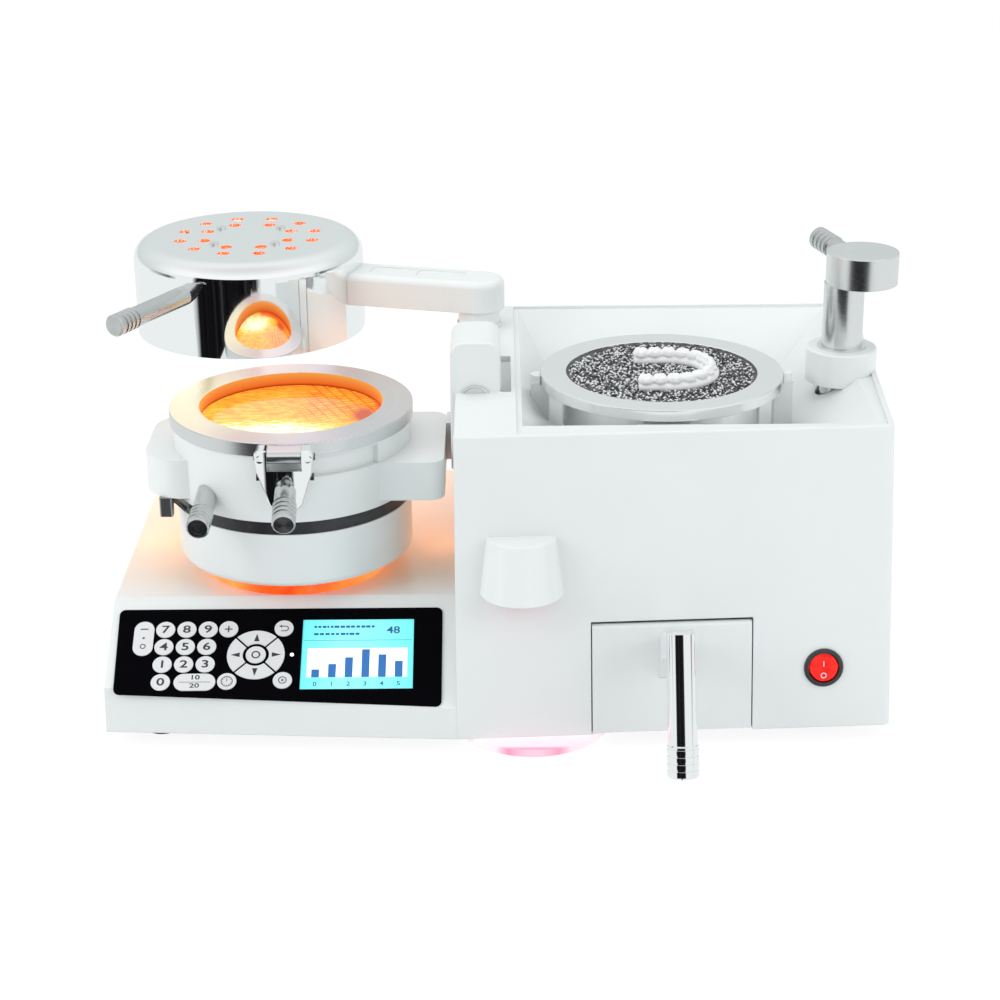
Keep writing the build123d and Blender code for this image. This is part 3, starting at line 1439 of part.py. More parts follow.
with BuildPart() as pull_yoke:
    with BuildSketch(Plane.XY.offset(yoke_bottom)):
        with Locations((column_x, column_post_y)):
            RectangleRounded(*yoke_size, 4)
    extrude(amount=yoke_thickness)
    with BuildSketch(Plane.XY.offset(yoke_bottom)):
        with BuildLine():
            Polyline(
                (pin_spot.X - yoke_bar / 2, pin_spot.Y + yoke_foot_half),
                (pin_spot.X + yoke_bar / 2, pin_spot.Y + yoke_foot_half),
                (column_x + yoke_bar / 2, column_post_y - yoke_size[1] / 2 + 4),
                (column_x - yoke_bar, column_post_y - yoke_size[1] / 2 + 4), close=True,
            )
        make_face()
    extrude(amount=yoke_thickness)
    foot_plane = Plane(origin=pin_spot, x_dir=(-right_sweep, 1, 0), z_dir=front_along)
    with BuildSketch(foot_plane):
        with BuildLine():
            Polyline(
                (-yoke_foot_front, -yoke_foot_half), (yoke_foot_back, -yoke_foot_half),
                (yoke_foot_back, yoke_rise + yoke_thickness), (yoke_foot_half, yoke_rise + yoke_thickness),
                (yoke_foot_half, yoke_foot_half), (-yoke_foot_front, yoke_foot_half), close=True,
            )
        make_face()
        SlotCenterToCenter(pin_slide, 2 * (crank_pin_radius + yoke_play), mode=Mode.SUBTRACT)
    extrude(amount=yoke_bar / 2, both=True)
    with BuildSketch(Plane.XY.offset(yoke_bottom)):
        with Locations((column_x, column_post_y)):
            Circle(spigot_radius + running_gap)
    extrude(amount=yoke_thickness, mode=Mode.SUBTRACT)
pull_yoke.part.label = "pull_yoke"
export_step(pull_yoke.part, "parts/pull_yoke.step")

# Pull lever: flap, arm, chrome rod, cranked shaft and its two brackets
def across_front(x, out, up):
    """A plane across the front at one X beside the shaft: sketch X along the front's depth, Y up it."""
    return Plane(origin=front_vector(x, up, out), x_dir=front_normal, z_dir=-front_along)


with BuildPart() as pull_flap:
    with BuildSketch(across_front(flap_right, 0, 0)):
        with BuildLine():
            FilletPolyline(
                (0, flap_bottom_gap), (0, flap_height), (-flap_thickness, flap_height),
                (-flap_thickness, flap_bottom_gap),
                radius=(0.3, flap_edge_round, 0.3, 0.3), close=True,
            )
        make_face()
    extrude(amount=flap_run)
    for x in (flap_left + 26, flap_right - 8):
        with BuildSketch(across_front(x, -pull_pivot_depth, pull_pivot_up)):
            Circle(pull_barrel_radius)
            with Locations((pull_pivot_depth - flap_thickness, 0)):
                Rectangle(pull_pivot_depth - flap_thickness, 2 * pull_barrel_radius,
                          align=(Align.MAX, Align.CENTER))
            Circle(pull_shaft_radius, mode=Mode.SUBTRACT)
        extrude(amount=pull_barrel_length)
pull_flap.part.label = "pull_flap"
export_step(pull_flap.part, "parts/pull_flap.step")

with BuildPart() as pull_arm:
    with BuildSketch(across_front(flap_middle + pull_arm_half, 0, 0)):
        with BuildLine():
            Line((0, pull_arm_foot[0]), (0, pull_arm_foot[1]))
            Line((0, pull_arm_foot[1]), (rod_top[0], pull_arm_end[1]))
            Line((rod_top[0], pull_arm_end[1]), (rod_top[0] + 2, pull_arm_end[0]))
            ThreePointArc((rod_top[0] + 2, pull_arm_end[0]), (13, pull_arm_end[0] - 7), (0, pull_arm_foot[0]))
        make_face()
    extrude(amount=2 * pull_arm_half)
    with BuildSketch(rod_plane):
        Circle(pull_grip_neck)
    extrude(amount=60, both=True, mode=Mode.SUBTRACT)
    split(bisect_by=rod_side, keep=Keep.BOTTOM)
pull_arm.part.label = "pull_arm"
export_step(pull_arm.part, "parts/pull_arm.step")

with BuildPart() as pull_rod:
    add(grip_rod(rod_start, rod_aim, rod_length, pull_grip_radius, pull_grip_neck))
pull_rod.part.label = "pull_rod"
export_step(pull_rod.part, "parts/pull_rod.step")

with BuildPart() as pull_crank:
    with BuildSketch(across_front(crank_x, -pull_pivot_depth, pull_pivot_up)):
        Circle(pull_shaft_radius)
    extrude(amount=(crank_x - flap_left + bracket_width) * front_scale)
    with BuildSketch(across_front(crank_x, -pull_pivot_depth, pull_pivot_up)):
        with Locations((-crank_throw / 2, 0)):
            Circle(crank_radius)
    extrude(amount=-crank_thickness)
    with BuildSketch(across_front(crank_x, -pull_pivot_depth, pull_pivot_up)):
        with Locations((-crank_throw, 0)):
            Circle(crank_pin_radius)
    extrude(amount=-(crank_thickness + foot_gap + yoke_bar))
pull_crank.part.label = "pull_crank"
export_step(pull_crank.part, "parts/pull_crank.step")

with BuildPart() as pull_brackets:
    for x in (flap_left - 4, flap_right + 4 + bracket_thickness):
        with BuildSketch(across_front(x, -pull_pivot_depth, pull_pivot_up)):
            with Locations((pull_pivot_depth - wall, 0)):
                Rectangle(bracket_depth, bracket_width, align=(Align.MAX, Align.CENTER))
            Circle(pull_shaft_radius + running_gap, mode=Mode.SUBTRACT)
        extrude(amount=bracket_thickness)
pull_brackets.part.label = "pull_brackets"
export_step(pull_brackets.part, "parts/pull_brackets.step")

# Power switch
switch_plane = Plane(
    origin=front_vector(switch_x, switch_up, 0), x_dir=front_along, z_dir=front_normal,
)
with BuildPart() as switch_bezel:
    with BuildSketch(switch_plane):
        Circle(bezel_radius)
    extrude(amount=bezel_proud)
    fillet(switch_bezel.faces().sort_by(Axis(switch_plane.origin, switch_plane.z_dir))[-1].edges(), 1.2)
    with BuildSketch(switch_plane):
        Circle(bezel_barrel)
    extrude(amount=-bezel_depth)
    with BuildSketch(switch_plane.offset(-bezel_depth + 3)):
        Circle(bezel_bore)
    extrude(amount=bezel_depth + bezel_proud, mode=Mode.SUBTRACT)
switch_bezel.part.label = "switch_bezel"
export_step(switch_bezel.part, "parts/switch_bezel.step")

rocker_plane = switch_plane.offset(-rocker_pivot_depth).rotated((-rocker_tilt, 0, 0))
with BuildPart() as switch_rocker:
    with BuildSketch(rocker_plane.offset(rocker_back)):
        Circle(rocker_radius)
    extrude(amount=rocker_front + rocker_pivot_depth - rocker_back)
    with BuildSketch(Plane(origin=rocker_plane.origin, x_dir=rocker_plane.y_dir, z_dir=rocker_plane.x_dir)):
        Circle(rocker_pin_radius)
    extrude(amount=bezel_bore - 0.1, both=True)
switch_rocker.part.label = "switch_rocker"
export_step(switch_rocker.part, "parts/switch_rocker.step")

# Mains and air inlets on the back
with BuildPart() as mains_inlet:
    with BuildSketch(Plane.XZ.offset(-mid_y - back_y)):
        with Locations((hinge_x + mains_x, inlet_height)):
            RectangleRounded(mains_size[0] + 8, mains_size[1] + 8, 3)
    extrude(amount=-2.5)
    with BuildSketch(Plane.XZ.offset(-mid_y - back_y)):
        with Locations((hinge_x + mains_x, inlet_height)):
            Rectangle(*mains_size)
    extrude(amount=22)
    with BuildSketch(Plane.XZ.offset(-mid_y - back_y - 2.5)):
        with Locations((hinge_x + mains_x, inlet_height)):
            Rectangle(mains_size[0] - 4, mains_size[1] - 4)
    extrude(amount=17, mode=Mode.SUBTRACT)
mains_inlet.part.label = "mains_inlet"
export_step(mains_inlet.part, "parts/mains_inlet.step")

with BuildPart() as air_inlet:
    with BuildSketch(Plane.XZ.offset(-mid_y - back_y)):
        with Locations((hinge_x + air_x, inlet_height)):
            RegularPolygon(nipple_hole + 3, 6)
    extrude(amount=-4)
    with BuildSketch(Plane.XZ.offset(-mid_y - back_y)):
        with Locations((hinge_x + air_x, inlet_height)):
            Circle(nipple_hole)
    extrude(amount=14)
    with BuildSketch(Plane.XZ.offset(-mid_y - back_y - 4)):
        with Locations((hinge_x + air_x, inlet_height)):
            Circle(nipple_radius)
    extrude(amount=-nipple_length)
    with BuildSketch(Plane.XZ.offset(-mid_y - back_y - 4 - nipple_length)):
        with Locations((hinge_x + air_x, inlet_height)):
            Circle(nipple_bore)
    extrude(amount=nipple_length + 22, mode=Mode.SUBTRACT)
air_inlet.part.label = "air_inlet"
export_step(air_inlet.part, "parts/air_inlet.step")
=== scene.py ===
"""Looks for the dental pressure former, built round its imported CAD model. Sizes are in metres."""

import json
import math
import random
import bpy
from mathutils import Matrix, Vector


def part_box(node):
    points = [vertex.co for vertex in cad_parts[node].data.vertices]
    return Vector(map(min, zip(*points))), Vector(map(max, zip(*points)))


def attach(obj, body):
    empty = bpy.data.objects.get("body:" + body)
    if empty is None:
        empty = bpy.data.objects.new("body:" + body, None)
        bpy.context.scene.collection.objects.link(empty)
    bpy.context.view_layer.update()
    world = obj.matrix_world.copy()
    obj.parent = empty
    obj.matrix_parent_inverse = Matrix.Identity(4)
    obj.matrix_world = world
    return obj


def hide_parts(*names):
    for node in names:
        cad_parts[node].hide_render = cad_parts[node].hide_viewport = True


bl_info = {
    "name": "Dental pressure former",
    "version": (1, 0, 0),
    "blender": (4, 5, 0),
    "location": "View3D > Sidebar > Former",
    "description": "Dresses the packed former: finishes, glow, panel marks, pellets and plaster arch",
    "category": "Object",
}

import bmesh
import bpy
from bpy.props import FloatProperty, FloatVectorProperty, IntProperty, PointerProperty
from mathutils import Matrix, Vector

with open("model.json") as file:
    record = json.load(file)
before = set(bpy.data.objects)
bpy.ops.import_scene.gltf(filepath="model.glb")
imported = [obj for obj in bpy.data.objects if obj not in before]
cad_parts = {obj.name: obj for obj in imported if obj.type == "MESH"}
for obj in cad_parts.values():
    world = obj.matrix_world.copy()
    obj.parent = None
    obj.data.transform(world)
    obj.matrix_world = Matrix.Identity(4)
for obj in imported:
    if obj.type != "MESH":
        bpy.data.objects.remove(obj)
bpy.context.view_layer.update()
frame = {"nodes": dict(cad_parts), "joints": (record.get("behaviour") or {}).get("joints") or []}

pivots = {joint["name"]: Vector(joint["pos_m"]) for joint in frame["joints"] if "pos_m" in joint}
shaft = pivots["chamber_flip"]
chamber_reach = 0.1218
chamber_middle = Vector((shaft.x - chamber_reach, shaft.y, 0))
cup_middle = Vector((shaft.x + chamber_reach, shaft.y, 0))
column_pivot = pivots["column_turn"]
hood_low, hood_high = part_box("lamp_hood")
hood_radius = 0.082
hood_middle = Vector((hood_low.x + hood_radius, hood_high.y - hood_radius, 0))
across_machine = (0, 1, 0)

# The console's sloping face, from the middle of its lower edge
slope_angle = math.radians(31)
slope_origin = Vector((shaft.x, shaft.y - 0.140, 0.029))
slope_turn = Matrix.Rotation(slope_angle, 4, "X")
key_print = 0.0018
screen_glass = 0.0005
mark_thickness = 0.00006
sharp_edge = math.radians(35)
millimetre = 0.001

# The display's face, on the slope, and the columns of the chart on it
screen_middle = -0.0766
chart_left = -0.1030
chart_step = 0.0106
chart_foot = 0.0275


def slope_place(u, v, rise):
    """A matrix that lays a flat piece on the sloping face: u along it, v up it, rise out of it."""
    return Matrix.Translation(slope_origin) @ slope_turn @ Matrix.Translation((u, v, rise))


def number_property(name, description, default):
    return FloatProperty(name=name, description=description, default=default)


def length_property(name, description, default):
    return FloatProperty(name=name, description=description, unit="LENGTH", default=default)


def angle_property(name, description, degrees):
    return FloatProperty(
        name=name, description=description, subtype="ANGLE", default=math.radians(degrees)
    )


def colour_property(name, description, default):
    return FloatVectorProperty(
        name=name, description=description, subtype="COLOR", size=4, min=0, max=1, default=default
    )


class StudioSettings(bpy.types.PropertyGroup):
    lens: number_property("Lens", "Focal length on a 36 mm sensor", 79.2)
    camera_aside: length_property("Camera aside", "From the swing shaft to the camera, along X", 0.0164)
    camera_back: length_property("Camera back", "From the shaft's middle plane to the camera, along Y", 1.370)
    camera_height: length_property("Camera height", "Above the table", 0.6655)
    pitch: angle_property("Pitch", "How far the camera looks down", 21.82)
    yaw: angle_property("Yaw", "How far the camera looks to the right", -0.05)
    roll: angle_property("Roll", "How far the camera leans", -0.49)
    ambient: number_property("Ambient", "Light from all round", 0.74)
    top_light: number_property("Top light", "Watts of the soft box overhead", 4.5)
    side_light: number_property("Side light", "Watts of the soft boxes at the sides", 7.6)
    glow_light: number_property("Glow light", "Watts of the warm light at the chamber", 1.2)
    slot_light: number_property("Slot light", "Watts of the fill in the hinge slot", 0.05)
    floor_depth: number_property("Floor shade", "How much of the floor's shadow the camera sees", 0.16)


class FinishSettings(bpy.types.PropertyGroup):
    shell: colour_property("Shell", "Enamel of the housing and console", (0.805, 0.84, 0.835, 1))
    casting: colour_property("Casting", "Powder coat of the arms and chamber", (0.80, 0.835, 0.83, 1))
    chrome: colour_property("Chrome", "Polished chrome", (0.93, 0.95, 0.95, 1))
    steel: colour_property("Steel", "Turned steel", (0.82, 0.84, 0.84, 1))
    satin: colour_property("Satin", "Satin ground steel", (0.78, 0.80, 0.81, 1))
    rubber: colour_property("Rubber", "Seals and feet", (0.022, 0.024, 0.027, 1))
    film: colour_property("Film", "Black panel film", (0.002, 0.002, 0.003, 1))
    key: colour_property("Key", "Silver key print", (0.80, 0.81, 0.82, 1))
    ink: colour_property("Ink", "Legends on the keys", (0.03, 0.03, 0.035, 1))
    screen: colour_property("Screen", "Lit display", (0.15, 0.80, 0.84, 1))
    glow: colour_property("Glow", "Heated tubes", (1.0, 0.13, 0.02, 1))
    # The middle colour of the rest ring's painted amber glow
    amber: colour_property("Amber", "Rest ring under the chamber", (1.0, 0.16, 0.02, 1))
    plaster: colour_property("Plaster", "Cast tooth arch", (0.86, 0.87, 0.87, 1))


class CupSettings(bpy.types.PropertyGroup):
    pellet_radius: length_property("Pellet radius", "Of one granule", 0.00088)
    pellet_pitch: length_property("Pellet pitch", "Between neighbours", 0.00172)
    bed_radius: length_property("Bed radius", "Of the filled bore", 0.0613)
    seed: IntProperty(name="Seed", description="Of the pellets' scatter", default=7)


class Shades:
    """The node tree of a material or a world, with short ways to add to it."""

    def __init__(self, owner):
        owner.use_nodes = True
        self.owner = owner
        self.nodes = owner.node_tree.nodes
        self.links = owner.node_tree.links
        self.shader = self.nodes.get("Principled BSDF")

    def feed(self, socket, value):
        """Links a socket to another, or sets it to a number, vector or colour."""
        if isinstance(value, bpy.types.NodeSocket):
            self.links.new(value, socket)
        else:
            socket.default_value = value

    def add(self, kind, inputs=(), **settings):
        """A new node, with its inputs fed from a dictionary and its own fields set."""
        node = self.nodes.new("ShaderNode" + kind)
        for name, value in settings.items():
            setattr(node, name, value)
        for label, value in dict(inputs).items():
            self.feed(node.inputs[label], value)
        return node

    def paint(self, inputs):
        """Feeds the main shader."""
        for label, value in inputs.items():
            self.feed(self.shader.inputs[label], value)

    def shine(self, colour, strength, roughness):
        """Makes the surface glow with its own colour."""
        self.paint({
            "Base Color": colour, "Emission Color": colour, "Emission Strength": strength,
            "Roughness": roughness,
        })

    def shifted(self, origin):
        """Object coordinates, from a point."""
        place = self.add("TexCoord").outputs["Object"]
        return self.vector("SUBTRACT", place, origin)

    def point(self, origin=(0, 0, 0), turn=(0, 0, 0), scale=(1, 1, 1)):
        """Object coordinates, centred on a point and turned."""
        return self.add(
            "Mapping", {"Vector": self.shifted(origin), "Rotation": turn, "Scale": scale}
        ).outputs["Vector"]

    def split(self, vector):
        """The three coordinates of a vector, by letter."""
        return self.add("SeparateXYZ", {"Vector": vector}).outputs

    def vector(self, operation, *inputs):
        """A Vector Math node; a length or a dot product comes out as a number."""
        node = self.add("VectorMath", enumerate(inputs), operation=operation)
        return node.outputs["Value" if operation in ("LENGTH", "DOT_PRODUCT") else "Vector"]

    def length(self, vector):
        return self.vector("LENGTH", vector)

    def noise(self, vector, scale, detail=3.0, roughness=0.5):
        return self.add(
            "TexNoise", {"Scale": scale, "Detail": detail, "Roughness": roughness, "Vector": vector}
        ).outputs["Fac"]

    def ramp(self, value, *stops):
        """A colour ramp; each stop is its place, red, green and blue."""
        band = self.add("ValToRGB", {"Fac": value})
        elements = band.color_ramp.elements
        while len(elements) < len(stops):
            elements.new(0.5)
        for element, (place, *colour) in zip(elements, stops):
            element.position = place
            element.color = (*colour, 1)
        return band.outputs["Color"]

    def spread(self, value, low, high, new_low=0, new_high=1):
        """Maps a value from one range to another."""
        return self.add("MapRange", {
            "Value": value, "From Min": low, "From Max": high, "To Min": new_low, "To Max": new_high,
        }).outputs["Result"]

    def calculate(self, operation, first, second=0):
        """A Math node on two inputs, each a socket or a number."""
        return self.add("Math", {0: first, 1: second}, operation=operation).outputs["Value"]

    def product(self, first, second):
        return self.calculate("MULTIPLY", first, second)

    def blend(self, share, first, second, mode="MIX"):
        """Mixes two colours, each a socket or four numbers."""
        mixer = self.add("Mix", data_type="RGBA", blend_type=mode)
        self.feed(mixer.inputs["Factor"], share)
        sockets = [socket for socket in mixer.inputs if socket.type == "RGBA"]
        for socket, value in zip(sockets, (first, second)):
            self.feed(socket, value)
        return [socket for socket in mixer.outputs if socket.type == "RGBA"][0]

    def mix(self, share, first, second):
        """Mixes two shaders."""
        return self.add("MixShader", {"Fac": share, 1: first, 2: second}).outputs["Shader"]

    def relief(self, height, distance, strength=1.0, edge=0.0):
        """Bump from a height, over an edge softened by the bevel node."""
        bump = self.add("Bump", {"Strength": strength, "Distance": distance, "Height": height})
        if edge:
            softener = self.add("Bevel", {"Radius": edge}, samples=4)
            self.feed(bump.inputs["Normal"], softener.outputs["Normal"])
        self.paint({"Normal": bump.outputs["Normal"]})


def finish_tree(name):
    """The tree of a new material."""
    return Shades(bpy.data.materials.new(name))


def toned(colour, share):
    """Red, green and blue of a colour, all by one share."""
    return [part * share for part in colour[:3]]


def dress(finish, slot, *nodes):
    """Gives CAD nodes another finish."""
    for node in nodes:
        piece = frame["nodes"][node]
        for holder in piece.material_slots:
            holder.material = finish.owner


def enamel(name, colour, roughness, peel=0.00003, coat=0.35):
    """Sprayed enamel: slight orange peel, faint cloudiness, its gloss varying a little in patches."""
    tree = finish_tree(name)
    point = tree.point()
    smear = tree.noise(point, 55, 5, 0.65)
    tree.paint({
        "Base Color": tree.ramp(
            tree.noise(point, 14, 4), (0.32, *toned(colour, 0.985)), (0.62, *colour[:3])
        ),
        "Roughness": tree.spread(smear, 0.3, 0.7, roughness * 0.92, roughness * 1.1),
        "Coat Weight": coat,
        "Coat Roughness": 0.08,
    })
    tree.relief(tree.noise(point, 900, 2), peel, 0.5, 0.0006)
    return tree


def polished(name, colour, roughness, top_roughness=None, middle=(0, 0, 0)):
    """Polished chrome with faint smears; a level top may be ground duller."""
    tree = finish_tree(name)
    point = tree.point(middle)
    smear = tree.spread(tree.noise(point, 38, 5, 0.6), 0.35, 0.75, roughness, roughness * 2.2)
    if top_roughness is not None:
        facing = tree.add("NewGeometry").outputs["Normal"]
        level = tree.spread(tree.split(facing)["Z"], 0.93, 0.995)
        smear = tree.spread(level, 0, 1, smear, top_roughness)
    tree.paint({"Base Color": colour, "Metallic": 1, "Roughness": smear})
    tree.relief(tree.noise(point, 6, 2), 0.0002, 0.12)
    return tree


def turned(name, colour, roughness, middle, axis=(0, 0, 1), anisotropy=0.6):
    """Metal turned on a lathe: fine grooves round an axis, on its walls and its ends alike."""
    tree = finish_tree(name)
    place = tree.shifted(middle)
    along = tree.vector("DOT_PRODUCT", place, axis)
    across = tree.vector("CROSS_PRODUCT", axis, place)
    track = tree.calculate("ADD", along, tree.length(across))
    groove = tree.add(
        "TexNoise", {"Scale": 7000, "Detail": 3, "W": track}, noise_dimensions="1D"
    ).outputs["Fac"]
    tree.paint({
        "Metallic": 1,
        "Base Color": tree.ramp(groove, (0.3, *toned(colour, 0.9)), (0.65, *colour[:3])),
        "Roughness": tree.spread(groove, 0.25, 0.75, roughness * 0.75, roughness * 1.3),
        "Anisotropic": anisotropy,
        "Tangent": across,
    })
    tree.relief(groove, 0.000003, 0.5, 0.0003)
    return tree


def rubber(name, colour, roughness=0.6):
    tree = finish_tree(name)
    point = tree.point()
    paler = [part + 0.02 for part in colour[:3]]
    tree.paint({
        "Base Color": tree.ramp(tree.noise(point, 120, 5, 0.7), (0.45, *colour[:3]), (0.75, *paler)),
        "Roughness": roughness,
    })
    tree.relief(tree.noise(point, 1400, 2), 0.00004, 0.6, 0.0004)
    return tree


def lit(name, colour, strength):
    """A surface that glows with one colour."""
    tree = finish_tree(name)
    tree.shine(colour, strength, 0.35)
    return tree


def mesh_from(work, name):
    """Turns a bmesh into a mesh and frees it."""
    mesh = bpy.data.meshes.new(name)
    work.to_mesh(mesh)
    work.free()
    return mesh


def put(name, data):
    """A new object in the scene."""
    holder = bpy.data.objects.new(name, data)
    bpy.context.scene.collection.objects.link(holder)
    return holder


def worked_out(holder):
    """The mesh that an object ends up with; the object goes."""
    bpy.context.view_layer.update()
    mesh = bpy.data.meshes.new_from_object(holder.evaluated_get(bpy.context.evaluated_depsgraph_get()))
    bpy.data.objects.remove(holder)
    return mesh


def take_in(work, mesh):
    """Adds a mesh to a bmesh and removes it."""
    work.from_mesh(mesh)
    bpy.data.meshes.remove(mesh)


def smooth_faces(mesh):
    """Smooth shading, with the sharp edges kept."""
    mesh.polygons.foreach_set("use_smooth", [True] * len(mesh.polygons))
    work = bmesh.new()
    work.from_mesh(mesh)
    for edge in work.edges:
        edge.smooth = len(edge.link_faces) != 2 or edge.calc_face_angle(0) < sharp_edge
    work.to_mesh(mesh)
    work.free()


def piece_from(work, name, body, finish, smooth=False):
    """Turns a bmesh into a piece that rides on a body."""
    mesh = mesh_from(work, name)
    if smooth:
        smooth_faces(mesh)
    mesh.materials.append(finish.owner)
    piece = put(name, mesh)
    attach(piece, body)
    return piece


def shift(x, y, z=0):
    return Matrix.Translation((x, y, z))


def scale(x, y, z):
    return Matrix.Diagonal((x, y, z, 1))


def lettering(work, text, place, height, stretch):
    """Adds a number, centred on a place, to a bmesh."""
    curve = bpy.data.curves.new("lettering", "FONT")
    curve.body = text
    curve.align_x = "CENTER"
    curve.align_y = "CENTER"
    curve.size = height
    curve.extrude = mark_thickness / 2
    curve.offset = height * 0.018
    curve.resolution_u = 3
    mesh = worked_out(put("lettering", curve))
    mesh.transform(place @ scale(stretch, 1, 1))
    take_in(work, mesh)
    bpy.data.curves.remove(curve)


def plate(work, place, width, height):
    """Adds a thin bar, centred on a place, to a bmesh."""
    bmesh.ops.create_cube(
        work, size=1, matrix=place @ shift(0, 0, mark_thickness / 2) @ scale(width, height, mark_thickness)
    )


def prong(work, place, length, width):
    """Adds a thin arrowhead that points along its own Y."""
    bmesh.ops.create_cone(
        work, cap_ends=True, segments=3, radius1=0.5, radius2=0.5, depth=1,
        matrix=place @ scale(width, length, mark_thickness),
    )


def is_section(face):
    """Whether a face of a closed ring is a section left inside it."""
    middle = face.calc_center_median()
    return abs(face.normal.x * middle.y - face.normal.y * middle.x) > 0.5 * middle.length


def hoop(work, place, radius, line, start=0.0, sweep=2 * math.pi, steps=24):
    """Adds a thin flat ring or arc."""
    own = bmesh.new()
    outline = ((-1, 0), (1, 0), (1, mark_thickness), (-1, mark_thickness))
    corners = [own.verts.new((radius + side * line / 2, 0, rise)) for side, rise in outline]
    section = own.faces.new(corners)
    bmesh.ops.spin(
        own, geom=[section, *section.edges, *corners], cent=(0, 0, 0), axis=(0, 0, 1), angle=sweep,
        steps=steps, use_merge=False, use_duplicate=False,
    )
    if abs(sweep - 2 * math.pi) < 1e-6:
        bmesh.ops.remove_doubles(own, verts=own.verts, dist=1e-7)
        inside = [face for face in own.faces if is_section(face)]
        bmesh.ops.delete(own, geom=inside, context="FACES_ONLY")
    bmesh.ops.recalc_face_normals(own, faces=own.faces)
    bmesh.ops.transform(own, verts=own.verts, matrix=place @ Matrix.Rotation(start, 4, "Z"))
    take_in(work, mesh_from(own, "part"))


def place_camera(scene, settings):
    lens = bpy.data.cameras.new("camera")
    lens.lens = settings.lens
    lens.sensor_width = 36
    lens.clip_start = 0.05
    camera = put("camera", lens)
    ahead = Vector((
        math.sin(settings.yaw) * math.cos(settings.pitch),
        math.cos(settings.yaw) * math.cos(settings.pitch), -math.sin(settings.pitch),
    ))
    level = ahead.cross(Vector((0, 0, 1))).normalized()
    above = level.cross(ahead)
    aside = level * math.cos(settings.roll) + above * math.sin(settings.roll)
    above = aside.cross(ahead)
    turn = Matrix((aside, above, -ahead)).transposed().to_4x4()
    spot = (shaft.x + settings.camera_aside, shaft.y - settings.camera_back, settings.camera_height)
    camera.matrix_world = Matrix.Translation(spot) @ turn
    scene.camera = camera


def build_studio(scene, settings):
    scene.world = bpy.data.worlds.new("studio")
    tree = Shades(scene.world)
    tree.nodes.clear()
    rays = tree.add("LightPath").outputs
    ray = tree.split(tree.add("TexCoord").outputs["Generated"])
    height = ray["Z"]
    # Gloss sees a white table, a dark room past its edge and a soft box over that; grey behind
    bearing = tree.calculate("ARCTAN2", ray["X"], tree.product(ray["Y"], -1))
    room_left, room_right, fade = math.radians(-52), math.radians(17), math.radians(5)
    room = tree.product(
        tree.spread(bearing, room_left, room_left + fade),
        tree.spread(bearing, room_right - fade, room_right, 1, 0),
    )
    streak = tree.add("TexNoise", {"Scale": 9, "W": bearing}, noise_dimensions="1D").outputs["Fac"]
    black = tree.ramp(
        streak, (0.45, 0.004, 0.004, 0.005), (0.62, 0.012, 0.012, 0.014), (0.72, 0.07, 0.07, 0.075)
    )
    table = tree.blend(room, (0.88, 0.90, 0.90, 1), black)
    aside = tree.spread(tree.calculate("ABSOLUTE", bearing), math.radians(70), math.radians(80))
    dark_band = tree.product(
        aside, tree.product(tree.spread(height, -0.13, -0.09), tree.spread(height, 0.06, 0.10, 1, 0))
    )
    below = tree.blend(dark_band, table, (0.015, 0.017, 0.019, 1))
    above = tree.ramp(
        tree.spread(height, 0, 1), (0.0, 1, 1, 1), (0.6, 1, 1, 1), (1.0, 0.72, 0.74, 0.75)
    )
    front = tree.blend(tree.spread(height, 0.27, 0.31), below, above)
    behind = tree.ramp(
        tree.spread(height, -1, 1), (0.48, 0.88, 0.90, 0.90), (0.53, 0.66, 0.70, 0.70),
        (0.75, 0.76, 0.80, 0.80), (0.95, 0.9, 0.91, 0.92),
    )
    studio = tree.blend(tree.spread(ray["Y"], -0.25, 0.35), front, behind)
    ambient, mirror, white = (
        tree.add("Background", {"Color": colour, "Strength": strength}).outputs["Background"]
        for colour, strength in (
            ((0.97, 0.985, 1, 1), settings.ambient), (studio, 1), ((1, 1, 1, 1), 1),
        )
    )
    lighting = tree.mix(rays["Is Glossy Ray"], ambient, mirror)
    clear = tree.calculate("MAXIMUM", rays["Is Camera Ray"], rays["Is Transmission Ray"])
    tree.add("OutputWorld", {"Surface": tree.mix(clear, lighting, white)})


def lay_floor(settings):
    tree = finish_tree("floor_white")
    tree.paint({"Base Color": (0.9, 0.91, 0.92, 1), "Roughness": 0.9})
    rays = tree.add("LightPath").outputs
    seen = tree.calculate("MAXIMUM", rays["Is Camera Ray"], rays["Is Glossy Ray"])
    glow = tree.add("Emission", {"Strength": 1.08}).outputs["Emission"]
    surface = tree.mix(
        tree.product(seen, 1 - settings.floor_depth), tree.shader.outputs["BSDF"], glow
    )
    tree.feed(tree.nodes["Material Output"].inputs["Surface"], surface)
    work = bmesh.new()
    bmesh.ops.create_grid(work, x_segments=1, y_segments=1, size=3)
    mesh = mesh_from(work, "floor")
    mesh.materials.append(tree.owner)
    ground = put("floor", mesh)
    ground.visible_glossy = False


def add_lamp(name, kind, spot, watts, colour=(1, 1, 1), **form):
    """A light that the chrome doesn't reflect."""
    lamp = bpy.data.lights.new(name, kind)
    lamp.energy = watts
    lamp.color = colour
    for field, value in form.items():
        setattr(lamp, field, value)
    holder = put(name, lamp)
    holder.location = spot
    holder.visible_glossy = False
    return holder


